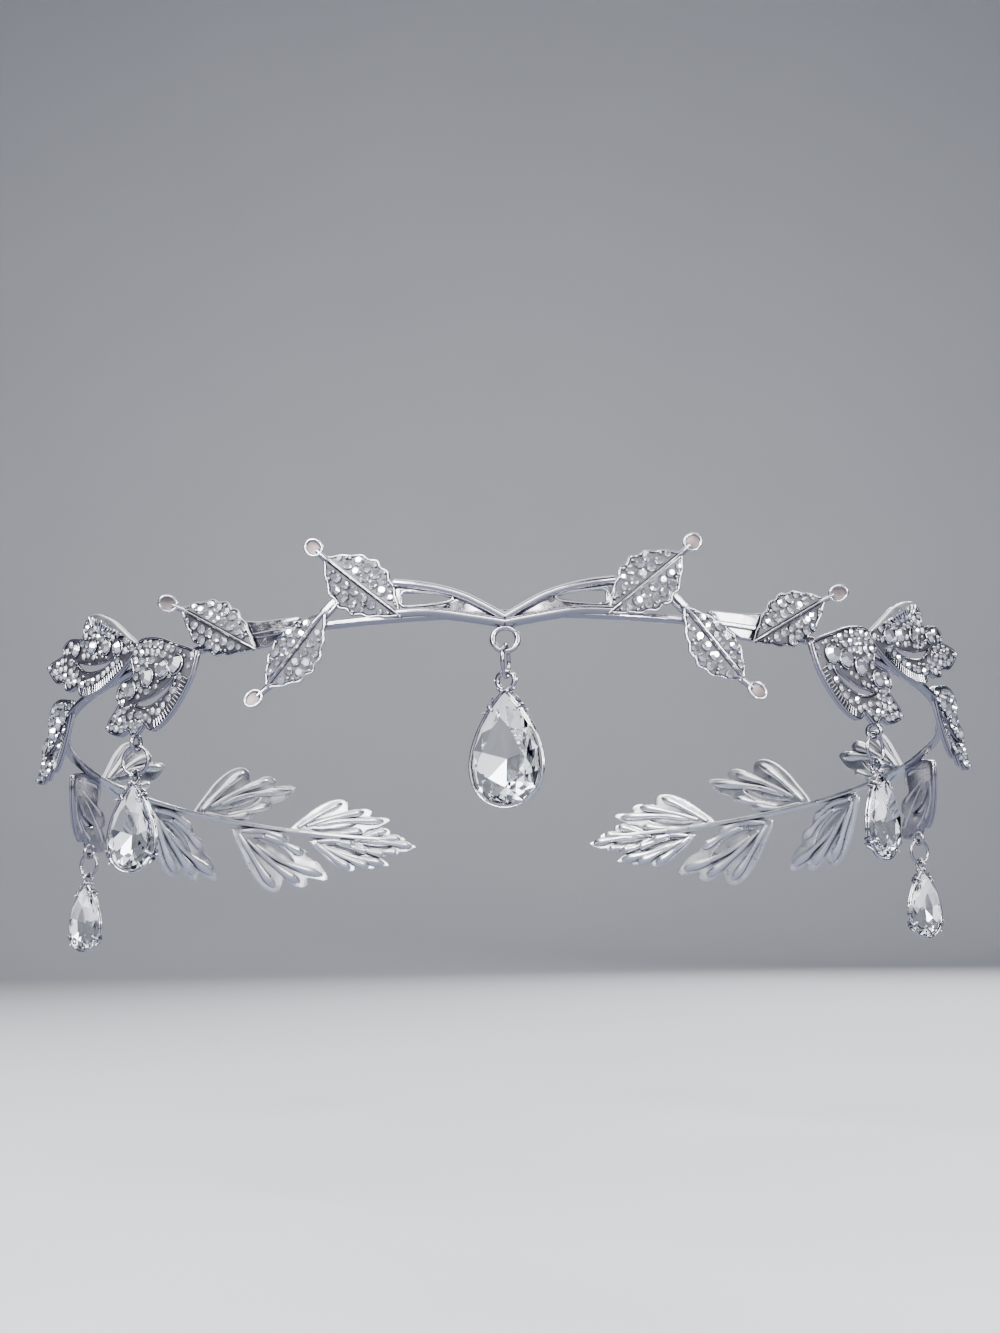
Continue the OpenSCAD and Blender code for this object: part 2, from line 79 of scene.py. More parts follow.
@dataclass(frozen=True)
class Band:
    """The circle of the leaf faces round the head, with its front raised. Millimetres and degrees."""

    face_radius: float = 73.0
    tilt: float = 8.0

    def axes(self, arc: float) -> tuple[np.ndarray, np.ndarray]:
        """Directions along the band and outwards, at a distance along the leaf faces from the front."""
        a = arc / self.face_radius
        return np.array([math.cos(a), math.sin(a)]), np.array([math.sin(a), -math.cos(a)])

    def flat(self, uvw: np.ndarray, side: Side, middle: float) -> np.ndarray:
        """Places points on the plane that touches the band at an arc.

        Args:
            uvw: Rows of distance along, height, and distance out from the faces.
            side: The side of the head.
            middle: Arc at which the plane touches.

        Returns:
            The points in metres.
        """
        along, out = self.axes(middle)
        flat = uvw[:, :1] * along + (self.face_radius + uvw[:, 2:]) * out
        return self.tipped(np.column_stack([flat, uvw[:, 1]]), side)

    def bent(self, uvw: np.ndarray, side: Side, middle: float = 0.0, touch: float = 0.0,
             flare: float = 0.0) -> np.ndarray:
        """Places points on a plate cut from a tube round the head.

        Args:
            uvw: Rows of distance along, height, and distance out from the faces.
            side: The side of the head.
            middle: Arc about which the plate is drawn.
            touch: Arc at which a flared plate meets the band.
            flare: How much larger the plate's tube is than the band.

        Returns:
            The points in metres.
        """
        along, out = self.axes(middle)
        centre = -flare * self.axes(touch)[1]
        q = uvw[:, :1] * along - centre
        qn = q @ out
        radius = self.face_radius + flare + uvw[:, 2]
        w = -qn + np.sqrt(qn**2 - (q**2).sum(1) + radius**2)
        return self.tipped(np.column_stack([uvw[:, :1] * along + w[:, None] * out, uvw[:, 1]]), side)

    def tipped(self, points: np.ndarray, side: Side) -> np.ndarray:
        """Mirrors points for the left side, tips the band and turns millimetres to metres.

        Args:
            points: The points.
            side: The side of the tiara.

        Returns:
            The points in metres.
        """
        c, s = math.cos(math.radians(self.tilt)), math.sin(math.radians(self.tilt))
        x, y, z = points.T
        return np.column_stack([side.value * x, y * c + z * s, -y * s + z * c]) * MM


BAND = Band()


@dataclass(frozen=True)
class LeafPlace:
    """Where a leaf lies on the band: its base, its heading above the band, and its length."""

    name: str
    arc: float
    height: float
    heading: float
    length: float

    def drawn(self, points: np.ndarray) -> np.ndarray:
        """Turns points on the leaf's axis to distance along from its middle, and height.

        Args:
            points: Points on its axis.

        Returns:
            Rows of distance along and height.
        """
        h = math.radians(self.heading)
        x = points[:, 0] - self.length / 2
        u = x * math.cos(h) - points[:, 1] * math.sin(h)
        v = x * math.sin(h) + points[:, 1] * math.cos(h)
        return np.column_stack([u, v + self.middle[1]])

    @property
    def middle(self) -> Point:
        """Arc and height of the leaf's middle.

        Returns:
            The arc and the height.
        """
        h = math.radians(self.heading)
        half = self.length / 2
        return self.arc + half * math.cos(h), self.height + half * math.sin(h)


@dataclass(frozen=True)
class SmallLeafPlace(LeafPlace):
    """A small pointed leaf, with its half width and the turn and lift of its curled stem."""

    half_width: float
    stem_turn: float
    stem_lift: float


@dataclass(frozen=True)
class SplitLeafPlace(LeafPlace):
    """A split leaf, and how its face lies beside the band.

    lobed and smooth are its widths as shares of the drawn outline, and hand is the way its lobes
    point. Its face is flatter than the band by flare, proud of its neighbours, and touches the
    band `lead` before its base.
    """

    lobed: float
    smooth: float
    hand: int = 1
    flare: float = 0.0
    proud: float = 0.0
    lead: float = 0.0

    @property
    def scale(self) -> float:
        """Its length as a share of the drawn outline's."""
        return self.length / OUTLINE.length

    @property
    def tube(self) -> Spot:
        """Where its face lies: the arc of its middle, the arc that it touches, and its flare."""
        return self.middle[0], self.arc - self.lead, self.flare

    @property
    def rings(self) -> tuple[np.ndarray, np.ndarray]:
        """Its edge and the edge of its slit, on its own axis."""
        return self.scaled(smoothed(OUTLINE.edge, 3)), self.scaled(smoothed(OUTLINE.slit, 3))

    def scaled(self, points: Iterable[Point]) -> np.ndarray:
        """Scales points of the drawn outline to this leaf.

        Args:
            points: Points as drawn.

        Returns:
            Points on its axis.
        """
        k = self.scale
        return np.array([
            (x * k, y * k * self.hand * (self.lobed if y > 0 else self.smooth)) for x, y in points
        ])

    def on_face(self, points: np.ndarray, out: float | np.ndarray, side: Side) -> np.ndarray:
        """Places points of its axis on its bent face, `out` beyond the leaf faces, in metres."""
        return BAND.bent(raised(self.drawn(points), out + self.proud), side, *self.tube)


@dataclass(frozen=True)
class SplitOutline:
    """The drawn shape of a split leaf, its slit and the places of its large stones."""

    length: float = 20.0
    edge: tuple[Point, ...] = (
        (0, -0.5), (1.8, -2.8), (3.9, -4.4), (6.1, -5.6), (8.4, -6.2), (10.3, -6.1), (11.2, -5.4),
        (11.7, -4.3), (13.4, -4.7), (14.7, -4.3), (15.2, -3.1), (17.2, -2.8), (19.3, -1.0),
        (20.0, 0.1), (19.3, 1.2), (16.4, 2.0), (16.8, 3.1), (16.1, 4.4), (14.7, 4.8), (12.2, 4.3),
        (12.2, 6.5), (11.5, 7.9), (10.2, 8.3), (8.7, 8.0), (7.2, 7.2), (5.2, 5.8), (3.0, 3.6), (0, 0.5),
    )
    slit: tuple[Point, ...] = (
        (4.2, -1.0), (6.2, -2.3), (9.0, -2.5), (11.2, -1.8), (13.0, -0.1), (10.8, -0.8), (8.6, -1.3),
        (6.2, -1.3),
    )
    large: tuple[Point, ...] = ((3.7, 0.4), (6.2, 1.1), (9.3, 1.8), (13.2, 2.2))

    @property
    def smooth_edge(self) -> tuple[Point, ...]:
        """The stretch of its edge that carries ticks."""
        return self.edge[1:6]

    @property
    def upper_lobe(self) -> tuple[Point, ...]:
        """The edge of its upper lobe, from the base."""
        return self.edge[:-8:-1]


OUTLINE = SplitOutline()
SMALL_LEAVES = (
    SmallLeafPlace("brow_leaf", 13.0, 0.1, 41.5, 12.9, 3.6, 4, 8),
    SmallLeafPlace("hanging_leaf", 22.8, 1.5, -48.5, 11.5, 3.4, 11, 8),
    SmallLeafPlace("rising_leaf", 32.5, -1.9, 32.0, 14.6, 3.3, -6, 38),
)
SPLIT_LEAVES = (
    SplitLeafPlace("temple_leaf", 42.2, -0.6, -20.5, 20.0, 1.00, 1.00),
    SplitLeafPlace("crest_leaf", 54.2, 3.0, 6.0, 25.0, 0.62, 0.75, 1, 200, 0.2),
    SplitLeafPlace("side_leaf", 80.0, 1.5, -26.0, 19.5, 0.90, 0.90, 1, 200, -1.2, 9.4),
    SplitLeafPlace("ear_leaf", 112.0, -2.2, -28.0, 20.0, 0.95, 0.95),
)
BACK_LEAVES = (
    SplitLeafPlace("back_leaf_1", 127.0, 0.6, 20.0, 21.5, 0.68, 0.70, 1, 0, 0.1),
    SplitLeafPlace("back_leaf_2", 143.0, -1.0, -28.0, 23.0, 0.72, 0.70, -1),
    SplitLeafPlace("back_leaf_3", 157.0, 0.8, 19.0, 26.5, 0.64, 0.48, 1, 0, 0.15),
    SplitLeafPlace("back_leaf_4", 167.0, -1.4, -18.0, 24.5, 0.80, 0.60, -1),
    SplitLeafPlace("back_leaf_5", 181.5, 0.9, 9.0, 23.0, 0.60, 0.45, 1, 0, 0.25),
    SplitLeafPlace("back_leaf_6", 186.0, -1.5, -12.0, 18.5, 0.50, 0.45, -1, 0, 0.12),
    SplitLeafPlace("back_leaf_7", 195.0, -0.7, -2.0, 15.0, 0.60, 0.60, 1, 0, -0.12),
)


# ---------------------------------------------------------------- node trees and meshes


class Web:
    """A node tree while it is wired up."""

    def __init__(self, tree: NodeTree) -> None:
        """Keeps the tree that nodes are added to."""
        self.tree = tree

    def set(self, node: Node, values: dict[str | int, Any]) -> None:
        """Sets inputs of a node.

        Args:
            node: The node.
            values: By the input's name or number, a value, a socket, or a node for its first output.
        """
        for name, value in values.items():
            if isinstance(value, Node):
                value = value.outputs[0]
            if isinstance(value, NodeSocket):
                self.tree.links.new(value, node.inputs[name])
            else:
                node.inputs[name].default_value = value

    def add(self, kind: str, values: dict[str | int, Any] | None = None, **settings: Any) -> Node:
        """Adds a node.

        Args:
            kind: Blender's name for the node.
            values: What its inputs get, as in `set`.
            settings: Properties of the node itself.

        Returns:
            The new node.
        """
        node = self.tree.nodes.new(kind)
        for name, value in settings.items():
            setattr(node, name, value)
        self.set(node, values or {})
        return node

    def stored(self, name: str, kind: str) -> tuple[NodeSocket, NodeSocket]:
        """A mesh attribute's value, and whether the mesh has it.

        Args:
            name: The attribute.
            kind: Its data type.

        Returns:
            The two sockets.
        """
        node = self.add("GeometryNodeInputNamedAttribute", {"Name": name}, data_type=kind)
        value = next(o for o in node.outputs if o.enabled and o.name == "Attribute")
        return value, node.outputs["Exists"]

    def noise(self, scale: Any, detail: Any) -> NodeSocket:
        """A value that drifts through the object's own space.

        Args:
            scale: Its scale.
            detail: Its detail.

        Returns:
            The value's socket.
        """
        place = self.add("ShaderNodeTexCoord").outputs["Object"]
        node = self.add("ShaderNodeTexNoise", {"Vector": place, "Scale": scale, "Detail": detail})
        return node.outputs["Fac"]

    def mix(self, share: Any, none: Any, whole: Any) -> NodeSocket:
        """A colour between one where the share is 0 and one where it is 1."""
        node = self.add("ShaderNodeMix", {"Factor": share, 6: none, 7: whole}, data_type="RGBA")
        return node.outputs[2]


def new_tree(name: str, kind: str, inputs: Sequence[tuple[str, str, Any]],
             outputs: Sequence[tuple[str, str]]) -> tuple[Web, dict[str, NodeSocket], Node]:
    """Starts a node tree with named inputs and outputs.

    Args:
        name: The tree's name.
        kind: GeometryNodeTree or ShaderNodeTree.
        inputs: Name, kind of socket and default of each input.
        outputs: Name and kind of socket of each output.

    Returns:
        The web, what the tree is given by the names of its inputs, and its output node.
    """
    tree = bpy.data.node_groups.new(name, kind)
    for label, socket, default in inputs:
        item = tree.interface.new_socket(label, in_out="INPUT", socket_type=f"NodeSocket{socket}")
        if default is not None:
            item.default_value = default
    for label, socket in outputs:
        tree.interface.new_socket(label, in_out="OUTPUT", socket_type=f"NodeSocket{socket}")
    web = Web(tree)
    given = {socket.name: socket for socket in web.add("NodeGroupInput").outputs}
    return web, given, web.add("NodeGroupOutput")


def added(name: str, data: Any) -> Object:
    """Makes an object of some data and puts it in the scene.

    Args:
        name: The object's name.
        data: Its data.

    Returns:
        The object.
    """
    made = bpy.data.objects.new(name, data)
    bpy.context.scene.collection.objects.link(made)
    return made


def settled(holder: Object) -> Mesh:
    """Takes the finished mesh of an object, and removes the object with its modifiers.

    Args:
        holder: The object.

    Returns:
        The mesh.
    """
    mesh = bpy.data.meshes.new_from_object(holder.evaluated_get(bpy.context.evaluated_depsgraph_get()))
    bpy.data.objects.remove(holder)
    return mesh


def grow(tree: NodeTree, seed: Mesh, inputs: dict[str, Any]) -> Mesh:
    """Runs a Geometry Nodes tree on a mesh.

    Args:
        tree: The tree to run.
        seed: Lines or points that the tree follows.
        inputs: Values of the tree's named inputs.

    Returns:
        The finished plain mesh.
    """
    holder = added(seed.name, seed)
    modifier = holder.modifiers.new("grow", "NODES")
    modifier.node_group = tree
    for item in tree.interface.items_tree:
        if item.item_type == "SOCKET" and item.in_out == "INPUT" and item.name in inputs:
            modifier[item.identifier] = inputs[item.name]
    return settled(holder)


def line_mesh(lines: Iterable[np.ndarray], closed: bool, width: Sequence[np.ndarray] | None = None) -> Mesh:
    """Makes a mesh of bare edges.

    Args:
        lines: Points of each line, in metres.
        closed: Whether each line comes back to its start.
        width: Share of the wire's radius at each point of each line, if it changes.

    Returns:
        The mesh.
    """
    points: list[np.ndarray] = []
    edges: list[tuple[int, int]] = []
    start = 0
    for line in lines:
        count = len(line)
        points.append(line)
        edges += [(start + i, start + i + 1) for i in range(count - 1)]
        if closed:
            edges.append((start + count - 1, start))
        start += count
    mesh = bpy.data.meshes.new("lines")
    mesh.from_pydata(np.concatenate(points).tolist(), edges, [])
    if width is not None:
        mesh.attributes.new("width", "FLOAT", "POINT").data.foreach_set("value", np.concatenate(width))
    return mesh


def fuse(name: str, parts: Sequence[Mesh]) -> Object:
    """Joins meshes into one object that keeps their materials.

    Args:
        name: Name of the object.
        parts: The meshes to join.

    Returns:
        The object, at the origin.
    """
    materials: list[Material] = []
    joined = bmesh.new()
    for part in parts:
        own = list(part.materials)
        for m in own:
            if m not in materials:
                materials.append(m)
        table = np.array([materials.index(m) for m in own] or [0])
        index = np.zeros(len(part.polygons), np.int32)
        part.polygons.foreach_get("material_index", index)
        index = table[np.minimum(index, len(table) - 1)]
        part.polygons.foreach_set("material_index", index.astype(np.int32))
        joined.from_mesh(part)
    mesh = bpy.data.meshes.new(name)
    joined.to_mesh(mesh)
    joined.free()
    for m in materials:
        mesh.materials.append(m)
    for layer in {a.name for a in mesh.attributes} & {"width", "facing", "size", "spin"}:
        mesh.attributes.remove(mesh.attributes[layer])
    return added(name, mesh)


def raised(flat: np.ndarray, out: float | np.ndarray) -> np.ndarray:
    """Adds a distance out to points of a plane."""
    return np.column_stack([flat, np.broadcast_to(out, len(flat))])


def circle(count: int) -> tuple[np.ndarray, np.ndarray]:
    """Cosines and sines of even steps round a circle, as columns."""
    angles = np.linspace(0, 2 * math.pi, count, endpoint=False)[:, None]
    return np.cos(angles), np.sin(angles)


def stretched(values: Sequence[float], count: int, places: Sequence[float] | None = None) -> np.ndarray:
    """Reads values that lie along a line at even steps of it.

    Args:
        values: The values.
        count: How many steps.
        places: Where the values lie, as shares of the line, if not evenly.

    Returns:
        The values at the steps.
    """
    if places is None:
        places = np.linspace(0, 1, len(values))
    return np.interp(np.linspace(0, 1, count), places, values)


def walked(line: np.ndarray) -> np.ndarray:
    """Distance walked along a line at each of its points."""
    return np.concatenate([[0], np.cumsum(np.linalg.norm(np.diff(line, axis=0), axis=1))])


def point_on(line: np.ndarray, measure: np.ndarray, at: float) -> np.ndarray:
    """The point of a flat line where a measure along it comes to a value."""
    return np.array([np.interp(at, measure, line[:, 0]), np.interp(at, measure, line[:, 1])])


def smoothed(points: Sequence[Point] | np.ndarray, steps: int, closed: bool = True) -> np.ndarray:
    """Draws a smooth line through points.

    Args:
        points: Points to pass through.
        steps: New points for each span.
        closed: Whether the line comes back to its start.

    Returns:
        The line's points.
    """
    p = np.asarray(points, float)
    count = len(p)
    if not closed:
        p = np.vstack([2 * p[0] - p[1], p, 2 * p[-1] - p[-2]])
    spans = range(count) if closed else range(1, count)
    made = []
    for i in spans:
        a, b, c, d = (p[(i + k) % len(p)] for k in (-1, 0, 1, 2)) if closed else p[i - 1:i + 3]
        for t in np.arange(steps) / steps:
            made.append(0.5 * (
                2 * b + (c - a) * t + (2 * a - 5 * b + 4 * c - d) * t**2 + (3 * b - a - 3 * c + d) * t**3
            ))
    if not closed:
        made.append(p[-2])
    return np.array(made)


# ---------------------------------------------------------------- geometry node trees


class Makers:
    """The Geometry Nodes trees that make wires, stones, grains and the strip."""

    def __init__(self) -> None:
        """Builds every tree once."""
        self.wire = self._wire()
        self.stones = self._stones()
        self.grains = self._grains()
        self.strip = self._strip()

    def round_wire(self, lines: Sequence[np.ndarray], radius: float, finish: Material, closed: bool = False,
                   width: Sequence[np.ndarray] | None = None, sides: int = 8) -> Mesh:
        """Makes round wire.

        Args:
            lines: Points of each wire's middle, in metres.
            radius: Its radius in millimetres.
            finish: Its material.
            closed: Whether each wire comes back to its start.
            width: Share of the radius at each point, if it changes.
            sides: Sides of its section.

        Returns:
            The wire's mesh.
        """
        return grow(self.wire, line_mesh(lines, closed, width), {
            "Wire Radius": radius * MM, "Wire Sides": sides, "Finish": finish,
        })

    @staticmethod
    def _finish(web: Web, geometry: Node, material: NodeSocket, out: Node, smooth: bool) -> NodeTree:
        """Shades, realizes and gives the material to what a tree has made.

        Args:
            web: The tree's web.
            geometry: What it has made.
            material: Its finish.
            out: Its output.
            smooth: Whether it is shaded smooth.

        Returns:
            The tree.
        """
        shaded = web.add("GeometryNodeSetShadeSmooth", {"Geometry": geometry, "Shade Smooth": smooth})
        real = web.add("GeometryNodeRealizeInstances", {"Geometry": shaded})
        web.set(out, {0: web.add("GeometryNodeSetMaterial", {"Geometry": real, "Material": material})})
        return web.tree

    def _wire(self) -> NodeTree:
        """Round wire along lines, thinner where their `width` says so.

        Returns:
            The tree.
        """
        web, given, out = new_tree("round_wire", "GeometryNodeTree", [
            ("Lines", "Geometry", None), ("Wire Radius", "Float", 0.0003),
            ("Wire Sides", "Int", 8), ("Finish", "Material", None),
        ], [("Geometry", "Geometry")])
        curve = web.add("GeometryNodeMeshToCurve", {0: given["Lines"]})
        width, exists = web.stored("width", "FLOAT")
        known = web.add("GeometryNodeSwitch", {
            "Switch": exists, "False": 1.0, "True": width,
        }, input_type="FLOAT")
        ring = web.add("GeometryNodeCurvePrimitiveCircle", {
            "Resolution": given["Wire Sides"], "Radius": given["Wire Radius"],
        })
        tube = web.add("GeometryNodeCurveToMesh", {
            "Curve": curve, "Profile Curve": ring, "Scale": known, "Fill Caps": True,
        })
        return self._finish(web, tube, given["Finish"], out, True)

    def _stones(self) -> NodeTree:
        """Cut stones on points that say their facing: a clear crown over a foiled back.

        Returns:
            The tree.
        """
        web, given, out = new_tree("set_stones", "GeometryNodeTree", [
            ("Seats", "Geometry", None), ("Sides", "Int", 8), ("Table Share", "Float", 0.56),
            ("Crown Share", "Float", 0.3), ("Back Share", "Float", 0.34), ("Culet Share", "Float", 0.12),
            ("Crown Finish", "Material", None), ("Back Finish", "Material", None),
        ], [("Geometry", "Geometry")])
        table, culet = (
            web.add("ShaderNodeMath", {0: given[share], 1: 0.5}, operation="MULTIPLY").outputs[0]
            for share in ("Table Share", "Culet Share")
        )
        tiers = []
        for tier, top, bottom, cap in (("Crown", table, 0.5, "Bottom"), ("Back", 0.5, culet, "Top")):
            cone = web.add("GeometryNodeMeshCone", {
                "Vertices": given["Sides"], "Radius Top": top, "Radius Bottom": bottom,
                "Depth": given[f"{tier} Share"],
            })
            opened = web.add("GeometryNodeDeleteGeometry", {
                "Geometry": cone, "Selection": cone.outputs[cap],
            }, domain="FACE", mode="ONLY_FACE")
            tiers.append(web.add("GeometryNodeSetMaterial", {
                "Geometry": opened, "Material": given[f"{tier} Finish"],
            }))
        down = web.add("ShaderNodeMath", {0: given["Back Share"], 1: -1.0}, operation="MULTIPLY")
        under = web.add("ShaderNodeCombineXYZ", {"Z": down})
        sunk = web.add("GeometryNodeTransform", {"Geometry": tiers[1], "Translation": under})
        both = web.add("GeometryNodeJoinGeometry", {0: tiers[0]})
        web.set(both, {0: sunk})
        welded = web.add("GeometryNodeMergeByDistance", {"Geometry": both, "Distance": 0.001})
        flat = web.add("GeometryNodeSetShadeSmooth", {"Geometry": welded, "Shade Smooth": False})
        return self._set_on(web, given, flat, out)

    def _grains(self) -> NodeTree:
        """Round grains of metal on points, drawn out the way that each point faces.

        Returns:
            The tree.
        """
        web, given, out = new_tree("set_grains", "GeometryNodeTree", [
            ("Seats", "Geometry", None), ("Rise", "Float", 1.2), ("Finish", "Material", None),
        ], [("Geometry", "Geometry")])
        ball = web.add("GeometryNodeMeshUVSphere", {"Segments": 10, "Rings": 6, "Radius": 0.5})
        stretch = web.add("ShaderNodeCombineXYZ", {"X": 1.0, "Y": 1.0, "Z": given["Rise"]})
        tall = web.add("GeometryNodeTransform", {"Geometry": ball, "Scale": stretch})
        soft = web.add("GeometryNodeSetShadeSmooth", {"Geometry": tall, "Shade Smooth": True})
        painted = web.add("GeometryNodeSetMaterial", {"Geometry": soft, "Material": given["Finish"]})
        return self._set_on(web, given, painted, out)

    @staticmethod
    def _set_on(web: Web, given: dict[str, NodeSocket], shape: Node, out: Node) -> NodeTree:
        """Sets a painted shape on the seats by their facing, spin and size, and realizes it.

        Args:
            web: The tree's web.
            given: Its inputs.
            shape: The shape.
            out: Its output.

        Returns:
            The tree.
        """
        turn = web.add("FunctionNodeAlignRotationToVector", {
            "Vector": web.stored("facing", "FLOAT_VECTOR")[0],
        }, axis="Z")
        own = web.add("FunctionNodeAxisAngleToRotation", {
            "Axis": (0, 0, 1), "Angle": web.stored("spin", "FLOAT")[0],
        })
        both = web.add("FunctionNodeRotateRotation", {
            "Rotation": turn, "Rotate By": own,
        }, rotation_space="LOCAL")
        placed = web.add("GeometryNodeInstanceOnPoints", {
            "Points": given["Seats"], "Instance": shape, "Rotation": both,
            "Scale": web.stored("size", "FLOAT")[0],
        })
        web.set(out, {0: web.add("GeometryNodeRealizeInstances", {"Geometry": placed})})
        return web.tree

    def _strip(self) -> NodeTree:
        """A flat strip with rounded edges along lines.

        Returns:
            The tree.
        """
        web, given, out = new_tree("flat_strip", "GeometryNodeTree", [
            ("Lines", "Geometry", None), ("Thickness", "Float", 0.0008), ("Height", "Float", 0.0018),
            ("Edge Radius", "Float", 0.0002), ("Finish", "Material", None),
        ], [("Geometry", "Geometry")])
        curve = web.add("GeometryNodeMeshToCurve", {0: given["Lines"]})
        upright = web.add("GeometryNodeSetCurveNormal", {"Curve": curve}, mode="Z_UP")
        section = web.add("GeometryNodeCurvePrimitiveQuadrilateral", {
            "Width": given["Thickness"], "Height": given["Height"],
        })
        rounded = web.add("GeometryNodeFilletCurve", {
            "Curve": section, "Radius": given["Edge Radius"], "Count": 4,
        }, mode="POLY")
        band = web.add("GeometryNodeCurveToMesh", {
            "Curve": upright, "Profile Curve": rounded, "Fill Caps": True,
        })
        return self._finish(web, band, given["Finish"], out, False)


# ---------------------------------------------------------------- finishes


class Effects:
    """Shader node groups that more than one finish uses."""

    def __init__(self) -> None:
        """Builds every group once."""
        self.cast = self._cast()
        self.cloud = self._cloud()

    def tint(self, web: Web, dim: Colour, bright: Colour, cloud: Point,
             spread: Point = (0.0, 1.0)) -> NodeSocket:
        """Adds a colour that drifts between two tints.

        Args:
            web: The material's web.
            dim: The darker tint.
            bright: The lighter tint.
            cloud: Scale and detail of the drift's noise.
            spread: Noise at and below which it is all dim, and at and above which it is all bright.

        Returns:
            The colour.
        """
        return web.add("ShaderNodeGroup", {
            "Dim": (*dim, 1), "Bright": (*bright, 1), "Cloud Scale": cloud[0], "Cloud Detail": cloud[1],
            "Dim Below": spread[0], "Bright Above": spread[1],
        }, node_tree=self.cloud).outputs["Colour"]

    @staticmethod
    def _cloud() -> NodeTree:
        """A colour that drifts between two tints.

        Returns:
            The group.
        """
        web, given, out = new_tree("clouded_tint", "ShaderNodeTree", [
            ("Dim", "Color", (0.8, 0.8, 0.8, 1)), ("Bright", "Color", (0.9, 0.9, 0.9, 1)),
            ("Cloud Scale", "Float", 500.0), ("Cloud Detail", "Float", 2.0),
            ("Dim Below", "Float", 0.0), ("Bright Above", "Float", 1.0),
        ], [("Colour", "Color")])
        spread = web.add("ShaderNodeMapRange", {
            "Value": web.noise(given["Cloud Scale"], given["Cloud Detail"]),
            "From Min": given["Dim Below"], "From Max": given["Bright Above"],
        })
        web.set(out, {"Colour": web.mix(spread, given["Dim"], given["Bright"])})
        return web.tree

    @staticmethod
    def _cast() -> NodeTree:
        """Cast and plated surface: painted shade darkens its recesses, with uneven polish and faint casting
        waves.

        Returns:
            The group.
        """
        web, given, out = new_tree("cast_surface", "ShaderNodeTree", [
            ("Bright", "Color", (0.8, 0.8, 0.8, 1)), ("Recess", "Color", (0.2, 0.2, 0.2, 1)),
            ("Recess Reach", "Float", 0.0008), ("Grain Scale", "Float", 900.0),
            ("Polish", "Float", 0.12), ("Dullness", "Float", 0.3),
        ], [("Colour", "Color"), ("Roughness", "Float"), ("Height", "Float")])
        noise = web.noise(given["Grain Scale"], 3.0)
        # Painted shade: ambient occlusion mixes the colour towards the recess shade in hollows and creases.
        hidden = web.add("ShaderNodeAmbientOcclusion", {"Distance": given["Recess Reach"]}, samples=6)
        open_to_light = web.add("ShaderNodeMapRange", {
            "Value": hidden.outputs["AO"], "From Min": 0.15, "From Max": 0.8,
        })
        rough = web.add("ShaderNodeMapRange", {
            "Value": noise, "From Min": 0.3, "From Max": 0.7,
            "To Min": given["Polish"], "To Max": given["Dullness"],
        })
        colour = web.mix(open_to_light, given["Recess"], given["Bright"])
        web.set(out, {"Colour": colour, "Roughness": rough, "Height": noise})
        return web.tree


def principled(name: str) -> tuple[Material, Web, Node]:
    """Starts a material with its shader alone.

    Args:
        name: The material's name.

    Returns:
        The material, its web and its Principled shader.
    """
    material = bpy.data.materials.new(name)
    material.use_nodes = True
    material.node_tree.nodes.clear()
    web = Web(material.node_tree)
    shader = web.add("ShaderNodeBsdfPrincipled")
    web.add("ShaderNodeOutputMaterial", {"Surface": shader.outputs[0]})
    return material, web, shader


@dataclass(frozen=True)
class CastSilver:
    """Bright silver plate over a casting: its colour, the painted shade in its recesses, how rough it is, and
    its faint waves.
    """

    name: str
    bright: Colour = (0.48, 0.46, 0.50)
    recess: Colour = (0.04, 0.04, 0.06)
    polish: float = 0.08
    dullness: float = 0.22
    grain: float = 900.0
    wave: float = 0.12
    wave_height: float = 0.0001
    reach: float = 0.0012

    def make(self, effects: Effects) -> Material:
        """Builds the material.

        Args:
            effects: The shared groups.

        Returns:
            The material.
        """
        material, web, shader = principled(self.name)
        cast = web.add("ShaderNodeGroup", {
            "Bright": (*self.bright, 1), "Recess": (*self.recess, 1), "Recess Reach": self.reach,
            "Grain Scale": self.grain, "Polish": self.polish, "Dullness": self.dullness,
        }, node_tree=effects.cast)
        bump = web.add("ShaderNodeBump", {
            "Height": cast.outputs["Height"], "Strength": self.wave, "Distance": self.wave_height,
        })
        web.set(shader, {
            "Metallic": 1.0, "Base Color": cast.outputs["Colour"], "Roughness": cast.outputs["Roughness"],
            "Normal": bump,
        })
        return material


@dataclass(frozen=True)
class Jewel:
    """Clear glass, a foiled stone or bare foil, clouded between two tints.

    cloud is the scale and detail of the clouding, and spread its noise where the colour becomes
    all dim and all bright. foil is how much of it is a mirror, clear how much light goes
    through it, and face the roughness of the glassy face over it, if it has one.
    """

    name: str
    dim: Colour
    bright: Colour
    cloud: Point
    spread: Point = (0.0, 1.0)
    foil: float = 0.0
    clear: float = 0.0
    roughness: float = 0.0
    index: float = 1.5
    face: float | None = None

    def make(self, effects: Effects) -> Material:
        """Builds the material.

        Args:
            effects: The shared groups.

        Returns:
            The material.
        """
        material, web, shader = principled(self.name)
        web.set(shader, {
            "Base Color": effects.tint(web, self.dim, self.bright, self.cloud, self.spread),
            "Metallic": self.foil, "Transmission Weight": self.clear, "Roughness": self.roughness,
            "IOR": self.index,
        })
        if self.face is not None:
            web.set(shader, {"Coat Weight": 1.0, "Coat Roughness": self.face})
        return material


